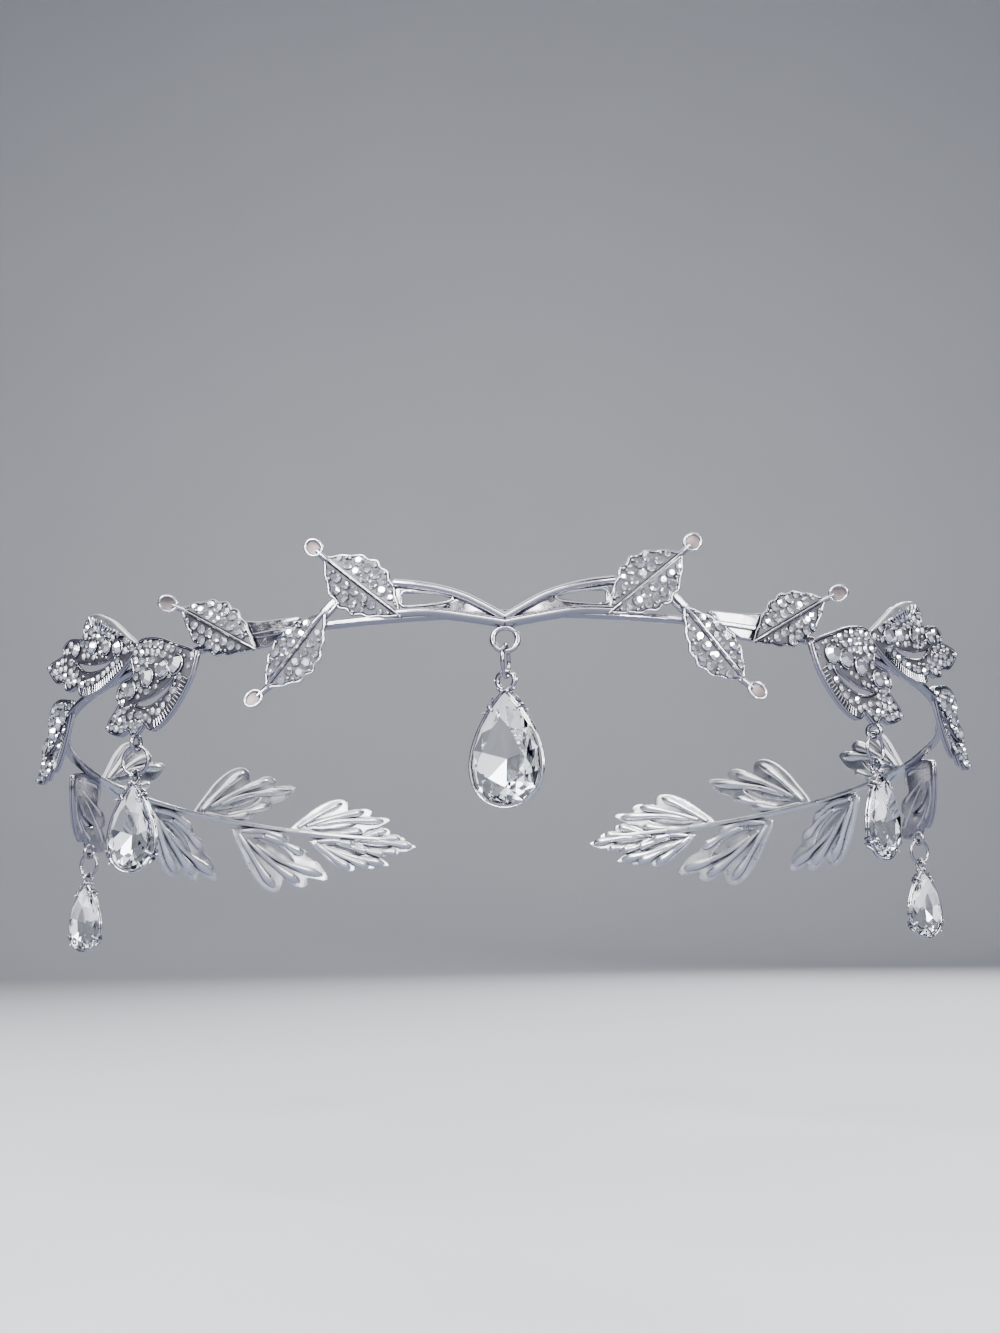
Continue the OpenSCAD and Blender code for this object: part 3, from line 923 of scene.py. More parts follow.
class Finishes:
    """Every material of the tiara."""

    def __init__(self) -> None:
        """Builds the materials and the groups that they share."""
        effects = self.effects = Effects()
        self.silver = CastSilver("polished_silver").make(effects)
        # Painted light: a rougher copy of the silver painted brighter for the back leaves, the rear strip and
        # the ridges behind the lobes.
        self.back_silver = CastSilver(
            "plain_silver", bright=(0.90, 0.90, 0.92), recess=(0.10, 0.10, 0.13), polish=0.24, dullness=0.38,
            grain=300.0,
        ).make(effects)
        # Painted light: a more polished copy of the silver, painted brighter, for rims, ribs, ticks and
        # beads, so that they read as bright lines.
        self.bead = CastSilver(
            "bead_silver", bright=(0.76, 0.75, 0.78), polish=0.05, dullness=0.12,
        ).make(effects)
        # Painted reflection: the dish's dark pinkish colour stands in for a pink reflection in the discs; its
        # rougher satin is its own.
        self.dish = CastSilver(
            "satin_dish", bright=(0.21, 0.175, 0.172), recess=(0.12, 0.10, 0.10), polish=0.34, dullness=0.5,
            grain=1600.0, wave=0.3,
        ).make(effects)
        self.satin = CastSilver(
            "satin_silver", bright=(0.94, 0.94, 0.95), polish=0.34, dullness=0.42, grain=500.0,
        ).make(effects)
        # Painted shade: a dark copy of the silver for the floor under the stones, so the gaps between them
        # read dark.
        self.tarnish = CastSilver(
            "tarnished_floor", bright=(0.15, 0.145, 0.165), recess=(0.035, 0.035, 0.045), polish=0.45,
            dullness=0.6, reach=0.0004,
        ).make(effects)
        self.stone = Jewel(
            "pave_stone", dim=(0.78, 0.78, 0.82), bright=(0.95, 0.95, 0.97), cloud=(650.0, 1.0),
            spread=(0.35, 0.6), foil=0.88, roughness=0.04, index=1.6, face=0.02,
        ).make(effects)
        self.crystal = Jewel(
            "crystal_glass", dim=(0.88, 0.90, 0.94), bright=(0.97, 0.98, 1.0), cloud=(700.0, 2.0),
            clear=1.0, index=1.49,
        ).make(effects)
        self.foil = Jewel(
            "crystal_foil", dim=(0.72, 0.75, 0.80), bright=(0.93, 0.94, 0.96), cloud=(500.0, 2.0),
            foil=1.0, roughness=0.03,
        ).make(effects)


# ---------------------------------------------------------------- plates


@dataclass(frozen=True)
class PlateMaker:
    """Plates with rounded edges, cut so that they can be bent. Millimetres."""

    bevel: float = 0.34
    bevel_share: float = 0.45
    bevel_steps: int = 2
    step: float = 2.5
    weld: float = 1e-4

    def plate(self, rings: Sequence[np.ndarray], thickness: float, out: float, place: Place,
              material: Material) -> Mesh:
        """Makes a rounded plate and puts it in its place.

        Args:
            rings: Its outer edge, and the edges of its openings.
            thickness: Its thickness.
            out: How far out its middle lies.
            place: What takes its points from the plane to metres in space.
            material: Its finish.

        Returns:
            The plate's mesh.
        """
        curve = bpy.data.curves.new("plate", "CURVE")
        curve.dimensions = "2D"
        curve.fill_mode = "BOTH"
        for ring in rings:
            spline = curve.splines.new("POLY")
            spline.points.add(len(ring) - 1)
            spline.points.foreach_set("co", raised(raised(ring, 0.0), 1.0).ravel())
            spline.use_cyclic_u = True
        bevel = min(self.bevel, thickness * self.bevel_share)
        curve.bevel_depth = bevel
        curve.offset = -bevel
        curve.extrude = thickness / 2 - bevel
        curve.bevel_resolution = self.bevel_steps
        mesh = settled(added("plate", curve))
        shape = bmesh.new()
        shape.from_mesh(mesh)
        bmesh.ops.remove_doubles(shape, verts=shape.verts, dist=self.weld)
        for x in np.arange(rings[0][:, 0].min() + self.step, rings[0][:, 0].max(), self.step):
            everything = [*shape.verts, *shape.edges, *shape.faces]
            bmesh.ops.bisect_plane(shape, geom=everything, plane_co=(x, 0, 0), plane_no=(1, 0, 0))
        shape.verts.index_update()
        points = np.array([v.co for v in shape.verts])
        faces = [tuple(v.index for v in f.verts) for f in shape.faces]
        shape.free()
        bpy.data.meshes.remove(mesh)
        points[:, 2] += out
        return shell(place(points), faces, material)


def shell(points: np.ndarray, faces: Faces, material: Material, crease: float = 35.0) -> Mesh:
    """Makes a closed shell with outward faces and soft shading.

    Args:
        points: Its points in metres.
        faces: Its faces.
        material: Its finish.
        crease: Angle in degrees past which an edge stays sharp.

    Returns:
        The mesh.
    """
    mesh = bpy.data.meshes.new("shell")
    mesh.from_pydata(points.tolist(), [], [list(f) for f in faces])
    shape = bmesh.new()
    shape.from_mesh(mesh)
    bmesh.ops.remove_doubles(shape, verts=shape.verts, dist=1e-7)
    bmesh.ops.recalc_face_normals(shape, faces=shape.faces)
    for f in shape.faces:
        f.smooth = True
    for e in shape.edges:
        e.smooth = not (e.is_manifold and e.calc_face_angle(0.0) > math.radians(crease))
    shape.to_mesh(mesh)
    shape.free()
    mesh.materials.append(material)
    return mesh


class Assembly:
    """Something whose parts fuse into one piece."""

    def __init__(self, makers: Makers, finishes: Finishes) -> None:
        """Keeps what the parts are made with.

        Args:
            makers: Makers of wire, stones and grains.
            finishes: The finishes.
        """
        self.makers = makers
        self.finishes = finishes
        self.parts: list[Mesh] = []

    def wire(self, lines: Sequence[np.ndarray], radius: float, finish: Material, **more: Any) -> None:
        """Adds round wire, with the other arguments of `Makers.round_wire`."""
        self.parts.append(self.makers.round_wire(lines, radius, finish, **more))

    def grains(self, seats: Sequence["Seat"]) -> None:
        """Adds grains of metal."""
        self.parts.append(grow(self.makers.grains, seat_mesh(seats), {"Finish": self.finishes.bead}))


# ---------------------------------------------------------------- the frame


@dataclass(frozen=True)
class FrameSizes:
    """The casting, in millimetres and degrees. Places out are measured from the leaf faces' radius.

    A finger is a ridge's radius, and the height of its middle over the leaf's inner face.
    """

    shown_t: float = 0.52
    leaf_out: float = 0.4
    fold: float = 10.0
    leaf_steps: int = 36
    leaf_lean: float = 1.2
    leaf_fullness: float = 0.8
    leaf_base: Point = (0.1, 0.12)
    leaf_tip: float = 0.3
    scallops: int = 6
    scallop: float = 0.06
    half_overlap: float = 0.15
    edge_r: float = 0.19
    edge_sunk: float = 0.02
    spine_steps: int = 9
    spine_over: Point = (0.3, 0.2)
    spine_end_out: float = 0.05
    stem_r: float = 0.46
    stem_run: Point = (-1.2, 1.9)
    disc_r: float = 1.15
    disc_at: float = 2.505
    disc_long: float = 1.16
    disc_sides: int = 24
    disc_edge: float = 0.05
    disc_rim_r: float = 0.19
    disc_rim_in: float = 0.13
    disc_rim_out: float = 0.2
    rim_r: float = 0.18
    rim_in: float = 0.2
    rim_out: float = 0.12
    slit_r: float = 0.16
    slit_out: float = 0.05
    shown_finger: Point = (0.24, 0.0)
    back_finger: Point = (0.78, -0.4)
    strip_t: float = 0.8
    strip_h: float = 1.4
    strip_edge: float = 0.25
    strip_set: float = 0.2
    strip_mid: float = 0.1
    strip_end: float = 158.0
    strip_polished: float = 96.0
    strip_step: float = 2.5
    join_in: float = -0.75
    join_out: float = -0.15
    web_in: float = -0.8
    web_out: float = 0.1
    rib_r: float = 0.56
    rib_out: float = 0.3
    window_lip_r: float = 0.2
    loop_r: float = 1.53
    loop_wire: float = 0.74
    loop_height: float = -3.5
    side_loop_r: float = 1.0
    side_loop_wire: float = 0.6


SIZES = FrameSizes()


@dataclass(frozen=True)
class Crescent:
    """The polished crescent over the crest leaf's upper lobe, and its flutes. Millimetres.

    Each point of a flute is a distance towards the crescent's centre and a distance out.
    """

    centre: Point = (8.4, 1.5)
    width: float = 1.55
    start: float = 0.08
    run: float = 0.86
    fullness: float = 0.8
    sunk: float = 0.1
    proud: float = 0.5
    flutes: int = 12
    flute_run: Point = (0.22, 0.95)
    flute_aim: Point = (1.2, 0.0)
    flute: tuple[Point, ...] = ((-0.3, 0.45), (0.5, 0.35), (1.15, 0.1))
    flute_r: float = 0.2


class SilverFrame(Assembly):
    """The soldered casting: strip, bar, leaves, stems and loops.

    Outlines are arcs and heights on the band, each of joins about its own arc; finger_runs are on
    the drawn split leaf, midribs are a distance out and a radius, and the disc's rows a share of
    its radius and a distance out.
    """

    bar_top: tuple[Point, ...] = (
        (0, -0.25), (2.5, 1.35), (5.0, 2.75), (8.0, 3.85), (11.0, 4.55), (13.8, 5.0),
    )
    bar_bottom: tuple[Point, ...] = ((13.6, -0.1), (9.0, -0.2), (4.5, -1.0), (0, -1.9))
    bar_window: tuple[Point, ...] = (
        (6.3, 2.1), (7.6, 1.5), (12.6, 1.4), (12.6, 3.3), (10.0, 3.1), (7.8, 2.7),
    )
    ribs: tuple[tuple[Point, ...], ...] = (
        ((0, -0.75), (2.5, 0.8), (5.0, 2.2), (8.0, 3.3), (11.0, 4.05), (13.7, 4.5)),
        ((0, -1.4), (4.5, -0.5), (9.0, 0.35), (13.3, 0.5)),
    )
    joins: tuple[tuple[float, tuple[Point, ...]], ...] = (
        (24.0, ((20.9, 3.0), (21.8, 3.8), (24.2, 1.6), (23.4, 0.6))),
        (32.0, (
            (26.5, 1.5), (29.0, 1.9), (32.5, 2.1), (35.8, 2.7), (37.0, 1.8), (35.0, -1.2), (32.0, -1.6),
            (30.2, -1.2),
        )),
    )
    finger_runs: tuple[tuple[Point, ...], ...] = (
        ((1.2, 0.2), (4.5, 2.8), (8.0, 5.4), (10.8, 6.9)), ((3.0, 0.5), (8.0, 2.2), (12.0, 3.2), (15.0, 3.6)),
        ((5.0, 0.6), (10.0, 1.2), (14.5, 0.8), (18.6, 0.0)),
        ((1.5, -1.0), (5.0, -3.8), (8.0, -4.6), (10.2, -4.6)),
        ((6.0, -3.2), (9.5, -3.6), (12.0, -3.4), (14.0, -3.3)),
    )
    midribs: tuple[Point, ...] = ((0.02, 0.2), (0.26, 0.17), (0.46, 0.15))
    stem_widths: tuple[float, ...] = (0.7, 1, 1, 0.95, 0.9, 0.9, 0.9)
    disc_body: tuple[Point, ...] = (
        (0.02, -0.34), (0.7, -0.32), (0.96, -0.2), (1.0, 0.0), (0.97, 0.2), (0.9, 0.14), (0.02, -0.1),
    )
    disc_dish: tuple[Point, ...] = (
        (0.02, 0.0), (0.88, 0.02), (0.88, 0.17), (0.6, 0.1), (0.3, 0.06), (0.02, 0.05),
    )
    plates: PlateMaker = PlateMaker()

    def bent_plate(self, rings: Sequence[np.ndarray], inner: float, outer: float, side: Side,
                   material: Material, *tube: float) -> None:
        """Adds a plate bent round the head.

        Args:
            rings: Its outer edge, and the edges of its openings.
            inner: How far out its inner face lies.
            outer: How far out its outer face lies.
            side: The side of the head.
            material: Its finish.
            tube: Its middle, touch and flare, as in `Band.bent`.
        """
        self.parts.append(self.plates.plate(
            rings, outer - inner, (inner + outer) / 2,
            lambda points: BAND.bent(points, side, *tube), material,
        ))

    def strip(self) -> None:
        """Adds the plain strip that goes round the head: polished silver in front, and behind a rougher
        silver painted brighter, as painted light.
        """
        radius = BAND.face_radius - SIZES.strip_set - SIZES.strip_t / 2
        end, turn = SIZES.strip_end, SIZES.strip_polished
        # soft is the rougher silver painted brighter behind, as painted light; the polished silver stays in
        # front.
        soft, polished = self.finishes.back_silver, self.finishes.silver
        for low, high, finish in ((-end, -turn, soft), (-turn, turn, polished), (turn, end, soft)):
            angles = np.radians(np.linspace(low, high, round((high - low) / SIZES.strip_step) + 1))
            line = raised(radius * np.column_stack([np.sin(angles), -np.cos(angles)]), SIZES.strip_mid)
            strip = grow(self.makers.strip, line_mesh([line * MM], False), {
                "Thickness": SIZES.strip_h * MM, "Height": SIZES.strip_t * MM,
                "Edge Radius": SIZES.strip_edge * MM, "Finish": finish,
            })
            points = np.zeros(len(strip.vertices) * 3)
            strip.vertices.foreach_get("co", points)
            strip.vertices.foreach_set("co", BAND.tipped(points.reshape(-1, 3) / MM, Side.RIGHT).ravel())
            self.parts.append(strip)

    def bar(self, side: Side) -> None:
        """Adds half of the V-shaped front bar with its window and its two round ribs.

        Args:
            side: The side of the tiara.
        """
        silver = self.finishes.silver
        rings = [np.array([*self.bar_top, *self.bar_bottom]), np.array(self.bar_window)]
        self.bent_plate(rings, SIZES.web_in, SIZES.web_out, side, silver)
        ribs = [raised(smoothed(rib, 4, closed=False), SIZES.rib_out) for rib in self.ribs]
        self.wire([BAND.bent(rib, side) for rib in ribs], SIZES.rib_r, silver, sides=12)
        lip = BAND.bent(raised(smoothed(self.bar_window, 4), SIZES.web_out), side)
        self.wire([lip], SIZES.window_lip_r, self.finishes.bead, closed=True, sides=6)

    def joiners(self, side: Side) -> None:
        """Adds the polished plates that join the small leaves.

        Args:
            side: The side of the tiara.
        """
        for middle, outline in self.joins:
            edge = smoothed(np.array(outline) - (middle, 0), 3)
            self.bent_plate([edge], SIZES.join_in, SIZES.join_out, side, self.finishes.silver, middle)

    def small_leaf(self, leaf: SmallLeafPlace, side: Side) -> None:
        """Adds a small leaf: two sloping halves, a raised edge, a midrib, and a curled stem with its disc.

        Args:
            leaf: The leaf.
            side: The side of the tiara.
        """
        edge = small_leaf_edge(leaf)
        inner = -SIZES.half_overlap
        outline = np.vstack([[[0, inner]], edge, [[leaf.length, inner]]])
        lines = []
        for half in (-1, 1):
            self.parts.append(self.plates.plate(
                [outline], SIZES.shown_t, SIZES.leaf_out - SIZES.shown_t / 2,
                lambda points: on_small_leaf(leaf, half, points, side), self.finishes.silver,
            ))
            lines.append(on_small_leaf(leaf, half, raised(edge, SIZES.leaf_out - SIZES.edge_sunk), side))
        self.wire(lines, SIZES.edge_r, self.finishes.bead, sides=6)
        n = SIZES.spine_steps
        widths = [stretched(stretched((0.8, 1, 1, 0.7), n, (0, 0.2, 0.7, 1)), 2 * n - 1)]
        before, after = SIZES.spine_over
        middle = np.column_stack([np.linspace(-before, leaf.length + after, n), np.zeros(n)])
        for out, radius in self.midribs:
            spine = raised(middle, SIZES.leaf_out + out)
            spine[0, 2] = spine[-1, 2] = SIZES.leaf_out + SIZES.spine_end_out
            line = on_small_leaf(leaf, 0, smoothed(spine, 2, closed=False), side)
            self.wire([line], radius, self.finishes.bead, width=widths)
        self._stem(leaf, side)

    def _stem(self, leaf: SmallLeafPlace, side: Side) -> None:
        """Adds a small leaf's curled stem and its dished disc.

        Args:
            leaf: The leaf.
            side: The side of the tiara.
        """
        turn, lift = math.radians(leaf.stem_turn), math.radians(leaf.stem_lift)
        along = np.array([math.cos(turn) * math.cos(lift), math.sin(turn) * math.cos(lift), math.sin(lift)])
        across = np.array([-math.sin(turn), math.cos(turn), 0.0])
        up = np.cross(along, across)
        tip = np.array([leaf.length, 0, 0])
        stem = tip + np.linspace(*SIZES.stem_run, len(self.stem_widths))[:, None] * along
        self.wire([on_small_leaf(leaf, 0, stem, side)], SIZES.stem_r, self.finishes.silver,
                  width=[np.array(self.stem_widths)])
        n = SIZES.disc_sides
        cos, sin = circle(n)
        oval = SIZES.disc_long * cos * along + sin * across
        middle = tip + SIZES.disc_at * along
        rim = middle + (SIZES.disc_r - SIZES.disc_rim_in) * oval + SIZES.disc_rim_out * up
        self.wire([on_small_leaf(leaf, 0, rim, side)], SIZES.disc_rim_r, self.finishes.bead, closed=True)
        size = SIZES.disc_r - SIZES.disc_edge
        for profile, finish in ((self.disc_body, self.finishes.silver), (self.disc_dish, self.finishes.dish)):
            rows = [middle + radius * size * oval + out * up for radius, out in profile]
            last = (len(profile) - 1) * n
            faces = [
                (r + i, r + (i + 1) % n, r + n + (i + 1) % n, r + n + i)
                for r in range(0, last, n) for i in range(n)
            ]
            faces += [tuple(range(n)), tuple(range(last, last + n))]
            self.parts.append(shell(on_small_leaf(leaf, 0, np.vstack(rows), side), faces, finish))

    def split_leaf(self, leaf: SplitLeafPlace, side: Side, plain: bool) -> None:
        """Adds a split leaf: its lobed plate with an open slit, and rounded rims on the edge and the slit.

        Args:
            leaf: The leaf.
            side: The side of the tiara.
            plain: Whether it bears no stones.
        """
        # Leaves without stones take the rougher silver painted brighter, as painted light.
        silver = self.finishes.back_silver if plain else self.finishes.silver
        edge, slit = leaf.rings
        face = leaf.proud + SIZES.leaf_out
        rings = [leaf.drawn(edge), leaf.drawn(slit)]
        self.bent_plate(rings, face - SIZES.shown_t, face, side, silver, *leaf.tube)
        rim = leaf.on_face(edge + SIZES.rim_in * inward(edge), SIZES.leaf_out + SIZES.rim_out, side)
        self.wire([rim], SIZES.rim_r, silver, closed=True)
        lip = leaf.on_face(slit, SIZES.leaf_out + SIZES.slit_out, side)
        self.wire([lip], SIZES.slit_r, silver, closed=True, sides=6)
        if leaf.name == "crest_leaf":
            self._crescent(leaf, side, Crescent())
        self._fingers(leaf, side, *(SIZES.back_finger if plain else SIZES.shown_finger))

    def _crescent(self, leaf: SplitLeafPlace, side: Side, sizes: Crescent) -> None:
        """Adds the crest leaf's crescent, and the flutes below it.

        Args:
            leaf: The leaf.
            side: The side of the tiara.
            sizes: The crescent's sizes.
        """
        outer = leaf.scaled(smoothed(OUTLINE.upper_lobe, 6, closed=False))
        share = walked(outer)
        share /= share[-1]
        centre = leaf.scaled([sizes.centre])[0]
        to_centre = centre - outer
        to_centre /= np.linalg.norm(to_centre, axis=1)[:, None]
        swell = np.sin(np.pi * np.clip(sizes.start + sizes.run * share, 0, 1)) ** sizes.fullness
        inner = outer + (sizes.width * swell)[:, None] * to_centre
        face = leaf.proud + SIZES.leaf_out
        ring = leaf.drawn(np.vstack([outer, inner[::-1]]))
        self.bent_plate([ring], face - sizes.sunk, face + sizes.proud, side, self.finishes.satin, *leaf.tube)
        lines = []
        for at in np.linspace(*sizes.flute_run, sizes.flutes):
            start = point_on(inner, share, at)
            way = centre + sizes.flute_aim - start
            way /= np.linalg.norm(way)
            line = np.array([start + step * way for step, _ in sizes.flute])
            lines.append(leaf.on_face(line, SIZES.leaf_out + np.array([out for _, out in sizes.flute]), side))
        self.wire(lines, sizes.flute_r, self.finishes.bead, sides=6)

    def _fingers(self, leaf: SplitLeafPlace, side: Side, radius: float, sunk: float) -> None:
        """Adds the plump ridges behind the lobes, which swell to a knuckle near each lobe's end.

        Args:
            leaf: The leaf.
            side: The side of the tiara.
            radius: The ridges' mean radius.
            sunk: Height of their middles over the leaf's inner face.
        """
        lines, widths = [], []
        for run in self.finger_runs:
            points = leaf.scaled(smoothed(run, 5, closed=False))
            out = stretched((0.3, 0.1, 0.0, 0.3), len(points), (0, 0.2, 0.8, 1))
            lines.append(leaf.on_face(points, out + SIZES.leaf_out - SIZES.shown_t + sunk, side))
            widths.append(stretched(
                (0.5, 0.8, 0.7, 1.25, 1.0, 0.45), len(points), (0, 0.15, 0.45, 0.78, 0.92, 1),
            ))
        self.wire(lines, radius, self.finishes.back_silver, width=widths)

    def ring(self, centre: np.ndarray, radius: float, wire: float, axis: Spot) -> None:
        """Adds a ring of round wire about an axis. Millimetres.

        Args:
            centre: Its centre.
            radius: Its mean radius.
            wire: The wire's diameter.
            axis: Its axis.
        """
        axis = np.array(axis) / np.linalg.norm(axis)
        first = np.cross(axis, (0, 0, 1.0))
        first /= np.linalg.norm(first)
        cos, sin = circle(40)
        line = centre + radius * (cos * first + sin * np.cross(axis, first))
        self.wire([line * MM], wire / 2, self.finishes.silver, closed=True, sides=12)

    def build(self) -> Object:
        """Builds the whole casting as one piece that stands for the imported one.

        Returns:
            The piece.
        """
        self.strip()
        for side in Side:
            self.bar(side)
            self.joiners(side)
            for leaf in SMALL_LEAVES:
                self.small_leaf(leaf, side)
            for leaf in SPLIT_LEAVES:
                self.split_leaf(leaf, side, plain=False)
            for leaf in BACK_LEAVES:
                self.split_leaf(leaf, side, plain=True)
        t = math.radians(BAND.tilt)
        front = loop_centre(0.0, SIZES.loop_height, 0.0)
        self.ring(front, SIZES.loop_r, SIZES.loop_wire, (0, math.cos(t), -math.sin(t)))
        for drop in SIDE_DROPS:
            turn = math.radians(drop.turn)
            self.ring(drop.loop, SIZES.side_loop_r, SIZES.side_loop_wire, (math.cos(turn), math.sin(turn), 0))
        made = fuse("silver_frame", self.parts)
        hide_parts("frame")
        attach(made, "crown")
        LOG.info("frame: %d faces", len(made.data.polygons))
        return made


def inward(ring: np.ndarray) -> np.ndarray:
    """Directions into a closed outline at each of its points.

    Args:
        ring: The outline.

    Returns:
        A unit row for each point.
    """
    d = np.roll(ring, -1, 0) - np.roll(ring, 1, 0)
    n = np.column_stack([-d[:, 1], d[:, 0]]) / np.maximum(np.linalg.norm(d, axis=1), 1e-9)[:, None]
    area = np.sum(ring[:, 0] * np.roll(ring[:, 1], -1) - np.roll(ring[:, 0], -1) * ring[:, 1])
    return n if area > 0 else -n


def small_leaf_edge(leaf: SmallLeafPlace) -> np.ndarray:
    """Scalloped edge of half a small leaf, from its base to its tip.

    Args:
        leaf: The leaf.

    Returns:
        Points on its axis.
    """
    t = np.linspace(0, 1, SIZES.leaf_steps + 1)[1:-1]
    body = leaf.half_width * np.sin(np.pi * t**SIZES.leaf_lean) ** SIZES.leaf_fullness
    scallop = 1.0 - SIZES.scallop * np.cos(2 * np.pi * t * SIZES.scallops)
    edge = np.column_stack([leaf.length * t, body * scallop])
    return np.vstack([[SIZES.leaf_base], edge, [[leaf.length, SIZES.leaf_tip]]])


def on_small_leaf(leaf: SmallLeafPlace, half: int, xyz: np.ndarray, side: Side) -> np.ndarray:
    """Places points of a small leaf's half in space.

    Args:
        leaf: The leaf.
        half: -1 or 1 for a sloping half, 0 for its middle plane.
        xyz: Points along the midrib, across from it and out.
        side: The side of the head.

    Returns:
        The points in metres.
    """
    x, y, z = xyz.T
    if half:
        f = math.radians(SIZES.fold)
        y, z = half * (y * math.cos(f) + z * math.sin(f)), -y * math.sin(f) + z * math.cos(f)
    return BAND.flat(raised(leaf.drawn(np.column_stack([x, y])), z), side, leaf.middle[0])


def loop_centre(arc: float, height: float, out: float, side: Side = Side.RIGHT) -> np.ndarray:
    """Centre of a loop in space, in millimetres."""
    return (BAND.bent(np.array([[0.0, height, out]]), side, arc) / MM)[0]


# ---------------------------------------------------------------- stones


@dataclass(frozen=True)
class Seat:
    """A place for one stone or bead: a point, the way it faces, its size and its spin.

    Metres and radians.
    """

    at: np.ndarray
    facing: np.ndarray
    size: float
    spin: float


def seat_mesh(seats: Sequence[Seat]) -> Mesh:
    """Makes a mesh of points that carry each seat's facing, size and spin.

    Args:
        seats: The seats.

    Returns:
        The mesh.
    """
    mesh = bpy.data.meshes.new("seats")
    mesh.from_pydata([s.at.tolist() for s in seats], [], [])
    for name, kind, field, values in (
        ("facing", "FLOAT_VECTOR", "vector", np.concatenate([s.facing for s in seats])),
        ("size", "FLOAT", "value", [s.size for s in seats]),
        ("spin", "FLOAT", "value", [s.spin for s in seats]),
    ):
        mesh.attributes.new(name, kind, "POINT").data.foreach_set(field, values)
    return mesh


def inside(point: Point, ring: np.ndarray) -> bool:
    """Whether a point lies inside a closed outline.

    Args:
        point: The point.
        ring: The outline.

    Returns:
        True where it does.
    """
    x, y = point
    a, b = ring, np.roll(ring, -1, 0)
    spans = (a[:, 1] > y) != (b[:, 1] > y)
    with np.errstate(divide="ignore", invalid="ignore"):
        cross = (b[:, 0] - a[:, 0]) * (y - a[:, 1]) / (b[:, 1] - a[:, 1]) + a[:, 0]
    return bool(np.sum(spans & (x < cross)) % 2)


def nearest(point: Point, ring: np.ndarray) -> float:
    """Distance from a point to a closed outline.

    Args:
        point: The point.
        ring: The outline.

    Returns:
        The distance.
    """
    p = np.array(point)
    a, b = ring, np.roll(ring, -1, 0)
    d = b - a
    t = np.clip(((p - a) * d).sum(1) / np.maximum((d * d).sum(1), 1e-12), 0, 1)
    return float(np.min(np.linalg.norm(a + t[:, None] * d - p, axis=1)))


class StoneField(Assembly):
    """The stones and holding beads of one leaf, fused into one body. Millimetres."""

    lean: float = 0.13
    most_spin: float = 6.28
    bezel_r: float = 0.14
    gap: float = 0.02
    smallest_stone: float = 0.6
    floor_rise: float = 0.02
    floor_bevel: float = 0.03

    def __init__(self, name: str, side: Side, makers: Makers, finishes: Finishes, seed: int) -> None:
        """Keeps the field's name and what it is made with.

        Args:
            name: Its name.
            side: The side of the tiara.
            makers: Makers of wire, stones and grains.
            finishes: The finishes.
            seed: Seed of its draws.
        """
        super().__init__(makers, finishes)
        self.name = name
        self.side = side
        self.random = np.random.default_rng(seed)
        self.stones: list[Seat] = []
        self.beads: list[Seat] = []
        self.bezels: list[np.ndarray] = []
        self.taken: list[Spot] = []

    def seat(self, into: list[Seat], at: np.ndarray, facing: np.ndarray, size: float) -> None:
        """Adds a seat whose facing leans a little, as stones set by hand do.

        Args:
            into: The list that takes it.
            at: Its place, in metres.
            facing: The way it faces.
            size: Its diameter, in millimetres.
        """
        facing = facing + self.random.normal(0, self.lean, 3)
        spin = float(self.random.uniform(0, self.most_spin))
        into.append(Seat(at, facing / np.linalg.norm(facing), size * MM, spin))

    def free(self, x: float, y: float, r: float, edge: np.ndarray) -> bool:
        """Whether a place lies inside an edge, and clear of the places and radii taken already."""
        clear = all((x - a) ** 2 + (y - b) ** 2 >= (r + c + self.gap) ** 2 for a, b, c in self.taken)
        return clear and inside((x, y), edge)

    def floor(self, rings: Sequence[np.ndarray], thickness: float, out: float, place: Place) -> None:
        """Lays a dark floor of painted shade under the stones, so the gaps between them read dark, as a plate
        that `PlateMaker.plate` makes.

        Args:
            rings: Its outline and openings.
            thickness: Its thickness.
            out: How far out it lies from the plate's face.
            place: Puts its points on the leaf.
        """
        self.parts.append(PlateMaker(bevel=self.floor_bevel).plate(
            rings, thickness, out + SIZES.leaf_out + self.floor_rise, place, self.finishes.tarnish,
        ))

    def build(self) -> Object:
        """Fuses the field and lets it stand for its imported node.

        Returns:
            The piece.
        """
        self.parts.append(grow(self.makers.stones, seat_mesh(self.stones), {
            "Crown Finish": self.finishes.stone, "Back Finish": self.finishes.foil,
        }))
        self.grains(self.beads)
        if self.bezels:
            self.wire(self.bezels, self.bezel_r, self.finishes.bead, closed=True, sides=6)
        made = fuse(f"{self.name}_pave_{self.side.word}", self.parts)
        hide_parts(f"stones_{self.name}_{self.side.word}")
        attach(made, "crown")
        LOG.info("%s: %d stones, %d beads", made.name, len(self.stones), len(self.beads))
        return made


